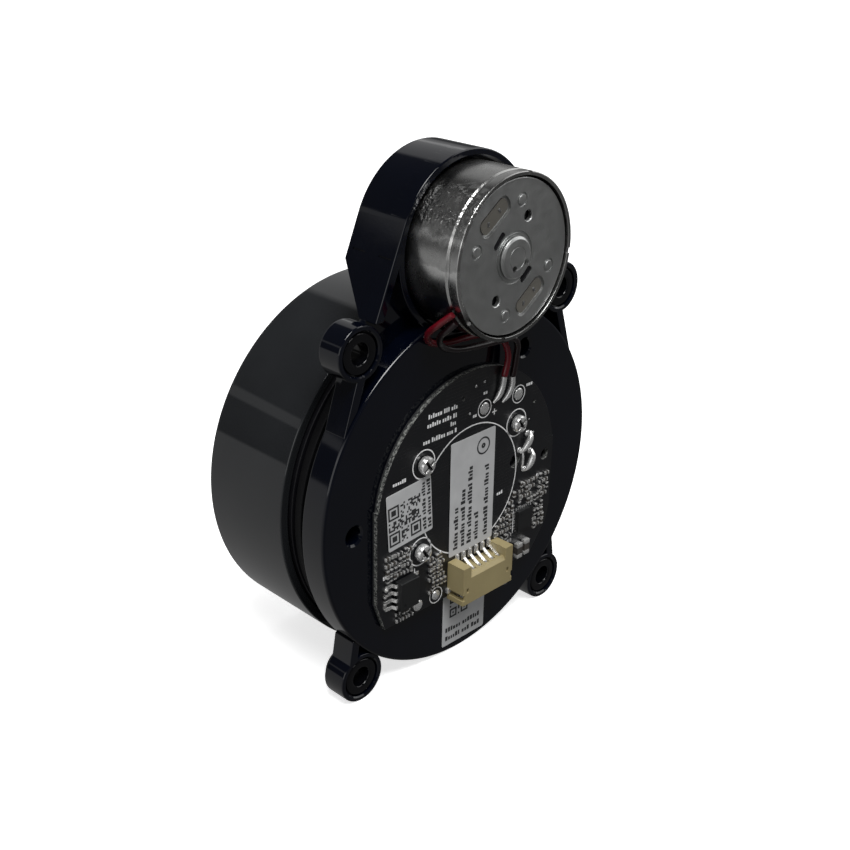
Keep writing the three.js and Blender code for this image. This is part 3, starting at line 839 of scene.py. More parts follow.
def make_turret_base():
    """The hub, the belt groove and the posts that carry the cover."""
    groove, flange = BELT_R - 0.9, 28.2
    hub, bore, skirt, rim = 13.6, 12.7, 15.5, 25.3
    near, deck, top = 5.4, 9.6, 10.8
    points = [
        (bore, 9.45), (hub, 9.45), (hub, near), (skirt, near), (skirt, deck), (rim, deck),
        (rim, near), (flange, near), (flange, 6.1), (groove, 6.5), (groove, 8.3), (flange, 8.7),
        (flange, top), (bore, top),
    ]
    radii = [0.1, 0.1, 0.3, 0.3, 0.3, 0.3, 0.3, 0.25, 0.2, 0.2, 0.2, 0.2, 0.2, 0.2]
    body = lathe("turret_hub", rounded(points, radii, 3), 200)
    board_screws = numbered("turret_board_screw", 3)
    posts, holes = [], []
    for cover_spot, board_spot in zip(COVER_SCREWS, board_screws):
        posts.append(disc("post", 2.2, 10.7, DRUM_FAR - 1.75, cover_spot, 32))
        holes.append(disc("hole", 1, 16, DRUM_FAR, cover_spot, 20))
        posts.append(disc("boss", 2, 10.7, 11.45, board_spot, 32))
        holes.append(disc("hole", 1, 9, 12, board_spot, 20))
    union(body, *posts)
    cut(body, *holes)
    place(body, "matt", "turret", "black_plastic", "turret_base")


def make_drum():
    """The glossy cover: a moulded cup with the optics slot in its side and three screw recesses."""
    ceiling = DRUM_FAR - 1.6
    face = DRUM_FAR - 0.3
    section = [(28.1, ceiling), (28.4, DRUM_NEAR), (DRUM_R, DRUM_NEAR), (DRUM_R - 0.1, DRUM_FAR)]
    wall = rounded(section, [0.4, 0.12, 0.3, 0.35], 8)
    shell = lathe("drum", [(0, ceiling), *wall, (26.8, DRUM_FAR), (26.4, face), (0, face)], 320)
    cutters = [prism("slot", block_outline(22.3, 34, -16.6, 16.6), 11.4, 24.6)]
    gate = [(0, face - 0.2), (0.7, face - 0.2), (1.2, face + 0.01), (1.2, face + 1), (0, face + 1)]
    cutters.append(lathe("gate", gate, 40))
    # Marks of the mould's three ejector pins.
    mark = [(2.2, face + 1), (2.3, face - 0.06), (2.45, face - 0.06), (2.55, face + 1)]
    cutters += [lathe("mark", mark, 64, polar(16, degrees)) for degrees in (30, 150, 270)]
    sunk, above = DRUM_FAR - 0.95, DRUM_FAR + 1
    recess = [(0, sunk), (2.3, sunk), (2.3, face - 0.25), (2.6, face + 0.05), (2.6, above), (0, above)]
    for spot in COVER_SCREWS:
        cutters.append(lathe("recess", recess, 48, spot))
        cutters.append(disc("hole", 1, 20, 28, spot, 24))
    cut(shell, *cutters)
    place(shell, "gloss", "turret", "gloss_black", "turret_cover", crease=28)


# ---- Optics, on the turret's right side ----
OPTICS = 18.2


def sideways(piece, z):
    """Turns a solid made about Y so that it points along +X, on the optical axis at that height."""
    return lay(piece, ("-Y", "X", "Z"), (0, OPTICS, z))


def bulge(radius, edge, height, step):
    """The profile of a lens's front, from its middle out to its edge."""
    profile = []
    for degrees in range(0, 91, step):
        angle = math.radians(degrees)
        profile.append((radius * math.sin(angle), edge + height * math.cos(angle)))
    return profile


def make_optics():
    receiver, laser = middle("receiver_lens").z, middle("laser_lens").z
    low, high = span("optics_bezel")
    face = high.x
    bezel = block_between("bezel", low, high)
    cutters = []
    for z, bore, lip in ((receiver, 5.2, 6.4), (laser, 3.5, 4.6)):
        hole = [(0, 15), (bore, 15), (bore, face - 0.4), (lip, face + 0.05), (lip, 30), (0, 30)]
        cutters.append(sideways(lathe("hole", hole), z))
    for step in (-1, 1):
        z = (receiver + laser) / 2
        groove = block_outline(face - 0.25, face + 1, z - 0.15 + step, z + 0.15 + step)
        cutters.append(prism("groove", groove, low.y + 1.5, high.y - 1.5))
    cut(bezel, *cutters)
    soften(bezel, 0.1, 2)
    place(bezel, "dull", "turret", "black_plastic", "optics_bezel")

    # The barrel's bore has steps that stop stray light.
    bore = 4.2
    barrel = [(bore, 9), (4.9, 9), (4.9, 23.4), (4.55, 23.4), (bore, 22.9)]
    for i in range(9):
        barrel += [(bore, 20.6 - i * 0.9), (bore - 0.15, 20.3 - i * 0.9)]
    place(sideways(lathe("barrel", barrel), receiver), "dull", "turret", "black_plastic", "receiver_barrel")

    lens = lathe("objective", [*bulge(4.0, 21.9, 1.2, 6), (4.1, 21.7), (4.1, 21), (0, 21)])
    place(sideways(lens, receiver), "lens", "turret", "lens_glass", "receiver_lens")

    points = [(0, 8), (3.1, 8), (3.1, 21.9), (2.5, 21.9), (2.5, 20.6), (0, 20.6)]
    module = lathe("laser_body", rounded(points, [0, 0.3, 0.15, 0.1, 0.1, 0], 3), 80)
    place(sideways(module, laser), "brass", "turret", "brass", "laser_module")

    window = lathe("collimator", [*bulge(2.3, 21.35, 0.7, 9), (2.35, 21.2), (2.35, 20.8), (0, 20.8)], 72)
    place(sideways(window, laser), "window", "turret", "lens_glass", "laser_lens")


# ---- Motor ----
PLATE_NEAR, PLATE_FAR = (corner.y for corner in span("motor_end_plate"))
# Places on the end plate are X and Z from the motor's axis.
PLATE_STUDS = ((1.1, 8.1), (-8, 2.3), (7.7, -2.7), (-1.4, -8.3))
PLATE_HOLES = ((2.6, 5.6), (-3.5, -5.7))
BRUSH_SLOTS = ((-4.4, 6.6), (3.9, -6.5))
BRUSH_TURN = 36
VENTS = ((-3.35, 2.95), (2.75, -3.05))


def on_motor(x, z):
    return x, MOTOR + z


def across_radius(outline, x, z):
    """An outline at a place on the motor's end, with its length across the radius."""
    return turned_outline(outline, on_motor(x, z), math.degrees(math.atan2(z, x)) - 90)


def make_can():
    """A drawn can with a rolled groove near its open end, whose lip is crimped over the end plate."""
    wall = CAN_R - 0.6
    groove = CAN_R - 0.2
    points = [
        (1.6, CAN_FAR - 1), (wall, CAN_FAR - 1), (wall, CAN_NEAR), (CAN_R, CAN_NEAR), (CAN_R, -6.7),
        (groove, -6.45), (groove, -6.15), (CAN_R, -5.9), (CAN_R, CAN_FAR), (1.6, CAN_FAR),
    ]
    radii = [0.1, 0.5, 0.12, 0.2, 0.1, 0.14, 0.14, 0.1, 1.0, 0.1]
    can = lathe("can", rounded(points, radii, 5), 220, (0, MOTOR))
    cutters = bores(numbered("motor_screw", 2), 0, 5, 24)
    for degrees in (354, 260, 218, 80):
        spot = on_motor(*polar(wall + 0.1, degrees))
        notch = turned_outline(bar_outline(0.42, 0.9, 0.2), spot, degrees - 90)
        cutters.append(prism("notch", notch, CAN_NEAR - 1, CAN_NEAR + 0.32))
    cut(can, *cutters)
    place(can, "can", "base", "steel", "motor_can")


def make_end_plate():
    near, far = PLATE_NEAR, PLATE_FAR
    bore, outer = 2.3, CAN_R - 0.88
    points = [(bore, near), (outer, near), (outer, far), (bore, far)]
    plate = lathe("plate", rounded(points, [0.05, 0.18, 0.1, 0.05]), 200, (0, MOTOR))
    studs = [on_motor(x, z) for x, z in PLATE_STUDS]
    union(plate, *[disc("stud", 0.72, near - 0.12, near + 0.1, spot, 32, 0.08) for spot in studs])
    outside, ring_floor = near - 1, near + 0.16
    cutters = [washer("ring", 3.85, 3.5, outside, ring_floor, (0, MOTOR), 120)]
    hole = [(0, outside), (0.92, outside), (0.92, near), (0.8, near + 0.12), (0.8, far + 1), (0, far + 1)]
    cutters += [lathe("hole", hole, 36, on_motor(x, z)) for x, z in PLATE_HOLES]
    for x, z in BRUSH_SLOTS:
        slot = turned_outline(bar_outline(3.4, 1.5, 1.45, 8), on_motor(x, z), BRUSH_TURN)
        cutters.append(prism("recess", slot, outside, near + 0.42, 0.1, 2))
    cutters += [washer("dimple", 1.08, 0.8, outside, ring_floor, spot, 40) for spot in studs]
    for x, z in VENTS:
        vent = across_radius(bar_outline(1.4, 0.5, 0.48, 6), x, z)
        cutters.append(prism("vent", vent, outside, near + 0.3))
    cut(plate, *cutters)
    place(plate, "plate", "base", "plate_steel", "motor_end_plate")


def make_brush_marks():
    """What shows in the end plate's openings: brown board, ends of the brush springs, and black sheets in
    the vents as painted shade.
    """
    near = PLATE_NEAR
    boards, springs, shade_sheets = [], [], []
    for x, z in BRUSH_SLOTS:
        slot = turned_outline(bar_outline(3.0, 1.12, 1.1, 8), on_motor(x, z), BRUSH_TURN)
        boards.append(prism("inset", slot, near + 0.16, near + 0.4, 0.05, 2))
        for step in (-1.5, 1.2):
            dx, dz = polar(step, BRUSH_TURN)
            tab = turned_outline(bar_outline(0.2, 0.32, 0.08), on_motor(x + dx, z + dz), 20 + 16 * step)
            springs.append(prism("spring", tab, near + 0.1, near + 0.2, 0.03, 2))
    # Painted shade: a black sheet just inside each vent.
    for x, z in VENTS:
        shade_sheet = across_radius(bar_outline(1.36, 0.46, 0.44, 6), x, z)
        shade_sheets.append(prism("shade_sheet", shade_sheet, near + 0.1, near + 0.4, 0.05, 2))
    place(join("plate_slot_shade", shade_sheets), "matt", "base", "black_plastic")
    place(join("brush_boards", boards), "brown", "base", "nylon")
    place(join("brush_springs", springs), "dim_steel", "base", "steel")


def make_cap():
    near = span("motor_bush")[0].y
    brim, neck = 3.1, 2.1
    points = [
        (0, near), (2.75, near), (brim, near + 0.28), (brim, near + 0.5), (neck, near + 0.5),
        (neck, near + 2.3), (0, near + 2.3),
    ]
    cap = lathe("cap", rounded(points, [0, 0.2, 0.1, 0.05, 0, 0, 0]), 110, (0, MOTOR))
    cutters = bores((on_motor(-0.5, -1.5), on_motor(2.0, -0.9)), near - 1, near + 2, 28, 0.45)
    cutters.append(washer("groove", 1.75, 1.55, near - 1, near + 0.06, (0, MOTOR), 80))
    cut(cap, *cutters)
    place(cap, "plate", "base", "plate_steel", "motor_bush")


# ---- Circuit board ----
def board_outline():
    """A circle with a cut-off foot. The two straight sides stand out a little past the round part."""
    radius, side, side_top, bottom = BOARD_R - 0.3, 20.1, 2.8, -17.8
    shoulder = math.degrees(math.asin(side_top / radius))
    foot = [
        (-side, side_top), (-side, -13), (-18.4, bottom), (15.6, bottom), (19.4, -13), (side, -10),
        (side, side_top),
    ]
    return [*arc((0, 0), radius, shoulder, 180 - shoulder, 72), *foot]


# Holes in the board: X, Z, radius.
BOARD_HOLES = ((10.5, 1.2, 1.2), (18.1, 0, 0.95), (-2.2, 15.9, 0.35), (3.9, 10.2, 0.3), (14.6, 10.6, 0.3))


def make_board():
    board = prism("board", board_outline(), BOARD_NEAR, BOARD_FAR)
    cutters = bores(BOARD_SCREWS, -2, 1, 28)
    cutters += [disc("hole", radius, -2, 1, (x, z), 28) for x, z, radius in BOARD_HOLES]
    cut(board, *cutters)
    place(board, "mask", "base", "solder_mask", "wireless_board")
    dress(board, "mask", "edge")
    for face in board.data.polygons:
        face.material_index = 0 if abs(face.normal.y) > 0.5 else 1


def pad(x0, x1, z0, z1, height, edge=0.0):
    """A flat solder pad."""
    return block("pad", x0, x1, BOARD_NEAR - height, BOARD_NEAR + SUNK, z0, z1, edge, 2)


# Places on the board that more than one part of it uses: X, Z.
TEST_PADS = ((2.6, 12.9), (10.6, 13.0))
FOOT_PAD, FOOT_PART = (-7.3, -16.4), (-11.3, -16.6)


def text_bars(x0, x1, z, height, seed, letter=0.5, gap=0.17):
    """A line of lettering reduced to plain blocks of letter size, in groups of word length."""
    draw = random.Random(seed)
    bars, x, left = [], x0, draw.randint(3, 8)
    while x < x1 - letter * 0.6:
        width = letter * draw.uniform(0.65, 1.15)
        tall = height * draw.choice((0.72, 0.72, 1))
        bars.append(block_outline(x, x + width, z - height / 2, z - height / 2 + tall))
        x += width + gap
        left -= 1
        if left == 0:
            x += letter * 0.8
            left = draw.randint(3, 8)
    return bars


def make_silkscreen():
    near, far = -1.062, BOARD_NEAR + 0.005
    circles = [((0, 0), 10.95, 0.19), *[(spot, 1.55, 0.15) for spot in TEST_PADS], (FOOT_PAD, 1.45, 0.14)]
    circles += [(spot, 2.4, 0.19) for spot in BOARD_SCREWS]
    rings = [washer("ring", radius, radius - line, near, far, spot) for spot, radius, line in circles]
    plus_sign = [block_outline(4.4, 5.4, 11.62, 11.8), block_outline(4.81, 4.99, 11.2, 12.2)]
    marks = plus_sign
    notes = ((-9.8, -3.7, 15.2), (-10, -3.6, 13.8), (-5, -3.6, 12.6), (-10.8, -3.4, 11.3))
    for i, (x0, x1, z) in enumerate(notes):
        marks += text_bars(x0, x1, z, 0.74, 40 + i, 0.34, 0.18)
    tags = (
        (0, 1.1, 12.4), (2.2, 3.4, 15.6), (12.4, 13.8, 14.1), (-17, -14, 6.5), (-18.9, -17.7, -8.6),
        (16.3, 17.6, -3.4), (6.4, 7.9, -3.3), (-15.6, -14, -15.9),
    )
    for i, (x0, x1, z) in enumerate(tags):
        marks += text_bars(x0, x1, z, 0.62, 60 + i, 0.4, 0.14)
    for x, z0, z1 in ((-12.2, -15.4, -9.5), (10.8, -12.2, -7.8), (15.2, -12.2, -7.8)):
        marks.append(block_outline(x - 0.07, x + 0.07, z0, z1))
    printed = [prism("print", outline, near, far) for outline in marks]
    place(join("silkscreen", rings + printed), "silk", "base", "label_foil")


def small_part(x, z, length, width, height, upright):
    """A two-ended chip part: its body and its two plated ends. An upright one has its length along Z."""
    half, cap = length / 2, length * 0.27
    middle_at, side_at = (z, x) if upright else (x, z)
    spans = [(-half, -half + cap, 0.02), (half - cap, half, 0.02), (-half + cap, half - cap, 0)]
    solids = []
    for start, end, plating in spans:
        along = (middle_at + start, middle_at + end)
        across = (side_at - width / 2 - plating, side_at + width / 2 + plating)
        xs, zs = (across, along) if upright else (along, across)
        edge = 0.05 if plating else 0.0
        solids.append(block("part", *xs, BOARD_NEAR - height - plating, BOARD_NEAR, *zs, edge, 2))
    return solids[2], solids[:2]


def make_small_parts():
    """The chip parts lie in clusters on a grid, some left out, as a board's parts do."""
    draw = random.Random(7)
    # Each cluster's corners: X0, X1, Z0, Z1.
    clusters = (
        (-18.3, -12.6, -9.0, -4.6), (-9.1, -5.4, -15.2, -8.2), (6.1, 11.0, -13.2, -4.2),
        (12.0, 19.4, -7.2, -3.0), (15.9, 18.2, -12.6, -8.2), (-16.2, -12.2, -17.2, -15.9),
        (-18.8, -17.9, -13.5, -10.4),
    )
    # Circles that other things take up: X, Z, radius.
    taken = (
        (-11, -7, 2.6), (13, -10, 2.9), (*FOOT_PART, 1.5), (*FOOT_PAD, 1.7), (0, 0, 11.2),
        (-14.6, -12.4, 3.3),
    )
    bodies = {"ceramic": [], "resistor": [], "pale": []}
    ends = []

    def add(kind, *sizes):
        body, caps = small_part(*sizes)
        bodies[kind].append(body)
        ends.extend(caps)

    for x0, x1, z0, z1 in clusters:
        z = z0
        while z <= z1:
            x = x0 + draw.uniform(0, 0.4)
            while x <= x1:
                upright = draw.random() < 0.45
                kind = draw.choices(("ceramic", "resistor", "pale"), (5, 5, 1))[0]
                clear = all(math.hypot(x - a, z - b) > reach for a, b, reach in taken)
                if clear and draw.random() < 0.93:
                    add(kind, x, z, 1.0, 0.5, draw.choice((0.3, 0.38, 0.45)), upright)
                x += 0.82 if upright else 1.3
            z += 1.2
    for x, z in ((12.1, -15.8), (13.9, -15.7)):
        add("ceramic", x, z, 2.7, 1.25, 0.85, True)
    for kind, parts in bodies.items():
        place(join("parts_" + kind, parts), kind, "base", "chip_epoxy")
    place(join("part_ends", ends), "tin", "base", "steel")


def gull_leg(x0, x1, z, width, top):
    """One bent lead from a chip's side, at x0, out to its foot at x1."""
    out = math.copysign(1, x1 - x0)
    upper, lower = BOARD_NEAR - 0.12, BOARD_NEAR - 0.01
    line = [
        (x0, top), (x0 + out * 0.3, top), (x0 + out * 0.55, upper), (x1, upper),
        (x1, lower), (x0 + out * 0.45, lower), (x0 + out * 0.2, top + 0.15), (x0, top + 0.15),
    ]
    # The line is drawn in X and Y, and its thickness runs along Z.
    return lay(prism("leg", line, z - width / 2, z + width / 2), "XZY")


def make_chips():
    low, high = span("driver_chip")
    driver = block_between("driver", low, high, 0.12)
    cut(driver, disc("dot", 0.32, low.y - 1, low.y + 0.07, (low.x + 0.8, low.z + 0.8), 24))
    place(driver, "chip", "base", "chip_epoxy", "driver_chip")
    legs, pads = [], []
    for i in range(4):
        z = (low.z + high.z) / 2 + (i - 1.5) * 1.27
        for edge, foot in ((low.x, low.x - 1.7), (high.x, high.x + 1.1)):
            legs.append(gull_leg(edge, foot, z, 0.56, low.y + 0.75))
            out = math.copysign(1, foot - edge)
            x0, x1 = sorted((foot - out * 0.75, foot + out * 0.2))
            pads.append(pad(x0, x1, z - 0.3, z + 0.3, 0.06, 0.03))
    low, high = span("controller_chip")
    controller = block_between("controller", low, high, 0.06, 2)
    cut(controller, disc("dot", 0.22, low.y - 1, low.y + 0.05, (low.x + 0.6, high.z - 0.6), 20))
    place(controller, "chip", "base", "chip_epoxy", "controller_chip")
    x, z = (low.x + high.x) / 2, (low.z + high.z) / 2
    for i in range(-3, 4):
        step = i * 0.5
        for side in (-1, 1):
            edge = side * (high.x - low.x) / 2
            x0, x1 = sorted((x + edge - side * 0.05, x + edge + side * 0.32))
            pads.append(pad(x0, x1, z + step - 0.13, z + step + 0.13, 0.09))
            z0, z1 = sorted((z + edge - side * 0.05, z + edge + side * 0.32))
            pads.append(pad(x + step - 0.13, x + step + 0.13, z0, z1, 0.09))
    place(join("chip_legs", legs), "tin", "base", "steel")
    place(join("chip_pads", pads), "solder", "base", "steel")


def solder_bead(spot, radius, height):
    """A low dome of solder on the board."""
    profile = [(0, BOARD_NEAR - height)]
    for i in range(1, 7):
        c, s = polar(1, 90 - 15 * i)
        profile.append((radius * c, BOARD_NEAR - height * s))
    foot = BOARD_NEAR + 0.02
    return lathe("bead", [*profile, (radius, foot), (0, foot)], 28, spot)


# Each strand's radius in its middle, and its route: X, Y, Z.
STRANDS = (
    (0.55, ((13.5, -1.5, 5.8), (13.25, -1.9, 5), (12.75, -1.9, 4.1), (12.1, -1.7, 3.2), (11.5, -1.3, 2.4))),
    (0.55, (
        (14.2, -1.4, 2.3), (14.05, -1.9, 1.4), (13.7, -1.9, 0.4), (13.25, -1.7, -0.5), (12.8, -1.3, -1.2),
    )),
    (0.2, ((12.1, -1.2, 2.7), (12.0, -1.5, 1.8), (12.0, -1.5, 0.4), (12.1, -1.2, -0.5))),
)


def solder_strands():
    """Loose tinned strands on the right of the board."""
    strands = []
    for full, route in STRANDS:
        path = smooth_path(route, 8)
        # Each strand swells in its middle, where the solder has gathered.
        radii = [0.14 + (full - 0.14) * math.sin(math.pi * (i + 0.5) / len(path)) for i in range(len(path))]
        strands.append(sweep("strand", path, radii))
    return strands


def make_solder():
    beads = [solder_bead(spot, 1.0, 0.22) for spot in TEST_PADS]
    beads += [solder_bead(FOOT_PART, 0.95, 0.3), solder_bead(FOOT_PAD, 0.85, 0.28)]
    # A few tiny joints are scattered over the board's upper right, clear of the screws and the pads.
    draw = random.Random(21)
    for _ in range(12):
        x, z = polar(draw.uniform(12.2, 19.0), draw.uniform(8, 100))
        if all(math.hypot(x - a, z - b) > 3 for a, b in ((10.4, 8.1), (-10.6, 7.8), (6, 14))):
            beads.append(solder_bead((x, z), draw.uniform(0.16, 0.26), 0.05))
    strands = solder_strands()
    beads += [solder_bead(spot, 0.5, 0.2) for spot in ((13.3, 5.3), (11.5, 2.9), (14.2, 1.9), (12.9, -1.0))]
    place(join("solder_joints", beads + strands), "solder", "base", "steel")


# ---- Connector ----
PINS_LOW, PINS_HIGH = span("connector_pins")
SOCKET_LOW, SOCKET_HIGH = span("connector_housing")
PIN_X = [(PINS_LOW.x + PINS_HIGH.x) / 2 + (i - 2.5) * 1.5 for i in range(6)]
PIN_Y = SOCKET_LOW.y + 1.35


def make_connector():
    low, high = SOCKET_LOW, SOCKET_HIGH
    body = block_between("socket", low, high)
    back, mouth = high.z, low.z
    # The end blocks are that long.
    end = 1.8
    recess = block("recess", low.x + end, high.x - end, low.y - 1, high.y + 1, back - 1.5, back + 1)
    cavity = block("cavity", low.x + 0.8, high.x - 0.8, low.y + 0.7, high.y - 0.6, mouth - 1, back - 2.4)
    cutters = [recess, cavity]
    for side, depth in ((low.x, 0.5), (high.x, 0.28)):
        near, far = low.y - 0.1, high.y - 0.3
        cutters.append(block("side", side - depth, side + depth, near, far, mouth + 0.85, mouth + 1.9))
        near, far = low.y + 0.5, high.y - 0.4
        cutters.append(block("pocket", side - 1.6, side + 1.6, near, far, mouth + 0.95, mouth + 1.8))
    # A sloped edge along the back of the near face, between the end blocks. Its outline's X is the depth.
    slope = [(-0.1, back - 1.4), (-0.1, back - 2.1), (0, back - 2.1), (0.5, back - 1.5), (0.5, back - 1.4)]
    wedge = lay(prism("slope", slope, low.x + end, high.x - end), "YXZ", (0, low.y, 0))
    wedge.data.flip_normals()
    cutters.append(wedge)
    for x in PIN_X:
        cutters.append(block("pin_hole", x - 0.4, x + 0.4, PIN_Y - 0.45, PIN_Y + 0.45, back - 2.6, back))
    near, far = low.y - 1, low.y + 0.9
    for side in (-1, 1):
        x = (low.x + high.x) / 2 + side * 4.75
        cutters.append(block("window", x - 0.24, x + 0.24, near, far, mouth + 2.1, mouth + 2.9))
    cut(body, *cutters)
    soften(body, 0.1, 2)
    place(body, "ivory", "base", "nylon", "connector_housing")
    tabs = []
    for side, edge in ((-1, low.x), (1, high.x)):
        x0, x1 = sorted((edge - side * 0.45, edge + side * 0.3))
        tabs.append(pad(x0, x1, mouth + 1.05, mouth + 2.05, 0.55, 0.08))
    place(join("socket_anchors", tabs), "tin", "base", "steel")


def make_pins():
    """Straight wires in the socket, and flat strips that slope from its back to their feet on the board."""
    back, top, far, tip = SOCKET_HIGH.z, PIN_Y, PINS_HIGH.y, PINS_HIGH.z
    bar = block("bar", PIN_X[0] - 0.4, PIN_X[-1] + 0.4, top - 0.4, top + 0.4, back - 3.4, back - 2.6)
    pins, feet = [bar], []
    # The strip's outline: Z, Y.
    side = [
        (back - 1.75, top - 0.25), (back - 0.5, far - 0.25), (tip, far - 0.25),
        (tip, far - 0.05), (back - 0.75, far - 0.05), (back - 1.85, top + 0.2),
    ]
    for x in PIN_X:
        tips = ((top, PINS_LOW.z + 0.1), (top, back - 2.0), (top, back - 1.7), (top + 0.12, back - 1.45))
        pins.append(tube("pin", [(x, y, z) for y, z in tips], 0.26, 6, 12))
        pins.append(lay(prism("strip", side, x - 0.27, x + 0.27, 0.05, 2), "ZXY"))
        feet.append(pad(x - 0.42, x + 0.42, back - 0.95, tip + 0.35, 0.1, 0.05))
    place(join("socket_pins", pins), "tin", "base", "steel", "connector_pins")
    place(join("socket_pads", feet), "solder", "base", "steel")


# ---- Labels ----
def code_blocks(x0, z0, count, size, seed):
    """A generic pattern of blocks with three corner squares. The blocks are random and carry no data."""
    draw = random.Random(seed)
    corner = 7 if count > 14 else 5
    last = count - corner
    blocks = []
    for row in range(count):
        z = z0 + row * size
        start = None
        for column in range(count + 1):
            at_left, at_right = column < corner + 1, column >= last - 1
            low_row, high_row = row < corner + 1, row >= last - 1
            in_corner = (at_left and (low_row or high_row)) or (at_right and low_row)
            on = column < count and not in_corner and draw.random() < 0.48
            if on and start is None:
                start = column
            if not on and start is not None:
                blocks.append(block_outline(x0 + start * size, x0 + column * size, z, z + size * 0.98))
                start = None
    side, inner = corner * size, (corner - 1) * size
    for x, z in ((x0, z0), (x0, z0 + last * size), (x0 + last * size, z0)):
        blocks += [
            block_outline(x, x + side, z, z + size),
            block_outline(x, x + side, z + inner, z + side),
            block_outline(x, x + size, z + size, z + inner),
            block_outline(x + inner, x + side, z + size, z + inner),
            block_outline(x + 2 * size, x + side - 2 * size, z + 2 * size, z + side - 2 * size),
        ]
    return blocks


def vertical_bars(x, z0, z1, width, seed, letter=0.5):
    """Lettering blocks that run up the label."""
    return [[(-b, a) for a, b in outline] for outline in text_bars(z0, z1, -x, width, seed, letter)]


def make_label(name, node, size, marks, rings, face, turn, centre):
    """A film with its print, drawn from its middle: marks are outlines, rings are (x, z, outer, inner)."""
    outline = bar_outline(size[0] / 2, size[1] / 2, 0.35)
    film = prism(name + "_film", turned_outline(outline, centre, turn), face - 0.09, face, 0.03, 2)
    place(film, "foil", "base", "label_foil", node)
    near, far = face - 0.1, face - 0.08
    printed = [prism("print", turned_outline(mark, centre, turn), near, far) for mark in marks]
    for x, z, outer, inner in rings:
        spot = turned_outline([(x, z)], centre, turn)[0]
        printed.append(washer("mark", outer, inner, near, far, spot, 48))
    place(join(name + "_print", printed), "ink", "base", "label_foil")


def make_labels():
    on_board_face = BOARD_NEAR - 0.1
    on_base_face = -0.055
    marks = []
    for i, (x, top) in enumerate(((-3.65, -1.5), (-2.1, 1.1), (-0.55, 4.5), (1.05, -3.9), (3.25, 4.1))):
        marks += vertical_bars(x, -8.9, top, 1.0, 80 + i)
    rings = [(2.3, 7.4, 1.5, 1.22), (2.3, 7.4, 0.45, 0.1)]
    make_label("middle_label", "centre_label", (10.1, 19.9), marks, rings, on_board_face, 0.6, (0.25, -0.7))

    marks = code_blocks(-4.45, -4.05, 21, 6.7 / 21, 11)
    for x, seed in ((2.95, 90), (4.05, 91)):
        marks += vertical_bars(x, -4.1, 4.1, 0.75, seed, 0.42)
    make_label("side_label", "code_label", (9.3, 9.5), marks, [], on_board_face, 4, (-13.55, 0.65))

    marks = code_blocks(-3.4, 0.2, 13, 4.3 / 13, 12)
    for z, seed in ((-1.9, 92), (-3.5, 93)):
        marks += text_bars(-4.3, 4.3, z, 0.85, seed)
    make_label("foot_label", "base_label", (10, 9.7), marks, [], on_base_face, 0, (0.45, -23.4))


# ---- Motor leads, from the motor to the board: X, Y, Z ----
RED_ROUTE = [
    (-11.3, -6.7, 32.9), (-11.6, -5.4, 31.8), (-11.9, -4.2, 30.7), (-11.8, -2.9, 29.6), (-11.3, -1.9, 28.5),
    (-10.3, -1.1, 27.4), (-8.9, -0.7, 26.5), (-6.9, -0.6, 25.9), (-4.6, -0.6, 25.6), (-2.2, -0.6, 25.5),
    (0.2, -0.6, 25.3), (2.6, -0.7, 25), (4.4, -0.8, 24.5), (5.8, -1.1, 23.6), (6.5, -1.5, 22.3),
    (6.7, -1.8, 20.8), (6.5, -1.8, 19.2), (6, -1.8, 17.5), (5.8, -1.75, 16), (5.3, -1.6, 14.6),
    (4.3, -1.3, 13.4),
]
BLACK_ROUTE = [
    (-10.6, -6.7, 31.6), (-10.9, -5.6, 30.4), (-10.9, -4.4, 29.3), (-10.3, -3.4, 28.2), (-9.3, -2.6, 27),
    (-7.9, -2.1, 25.9), (-6, -1.9, 25.1), (-3.6, -1.9, 24.6), (-1.2, -1.9, 24.3), (1.2, -2, 24.1),
    (3.6, -2.2, 24), (5.6, -2.5, 24), (7.3, -2.5, 23.4), (8.2, -2.3, 22.1), (8.4, -2, 20.6),
    (8.3, -1.9, 19), (8, -1.8, 17), (8, -1.75, 15.4), (7.4, -1.6, 14), (6.4, -1.3, 12.9),
]
LEAD_R = 0.5
BARE_STEPS = 3


def make_leads():
    tails = []
    for name, route, look in (("red", RED_ROUTE, "red"), ("black", BLACK_ROUTE, "dark")):
        sleeve = tube(name + "_lead", route[:-BARE_STEPS], LEAD_R, 8, 24)
        place(sleeve, look, "base", name + "_insulation", "motor_lead_" + name)
        path = smooth_path(route[-BARE_STEPS - 1:], 8)
        # The twisted strands are tinned, and end in a point on the pad.
        radii = [0.46 * min(1, 0.3 + 2.2 * (1 - i / len(path))) for i in range(len(path))]
        tails.append(sweep("tail", path, radii, 16))
    place(join("lead_tails", tails), "solder", "base", "steel")


# ---- Inner CAD nodes, which keep their shape ----
INNER_NODES = {
    "tin": ("motor_shaft", "bearing_inner_ring", "bearing_outer_ring", "bearing_balls"),
    "ferrite": ("motor_magnet", "ferrite_base", "ferrite_turret"),
    "copper": ("motor_rotor", "coil_base", "coil_turret"),
    "ivory": ("motor_pulley",),
    "dim_steel": ("bearing_clip",),
    "matt": ("motor_brush_plate",),
    "dull": ("optics_carrier",),
    "lens": ("link_emitter", "link_receiver"),
    "mask": ("sensor_board", "turret_board"),
    "chip": ("image_sensor", "turret_chip"),
    "screw": (
        "turret_board_screw_1", "turret_board_screw_2", "turret_board_screw_3",
        "motor_screw_1", "motor_screw_2",
    ),
}


def dress_inner_nodes():
    for look, nodes in INNER_NODES.items():
        for node in nodes:
            dress(frame["nodes"][node], look)


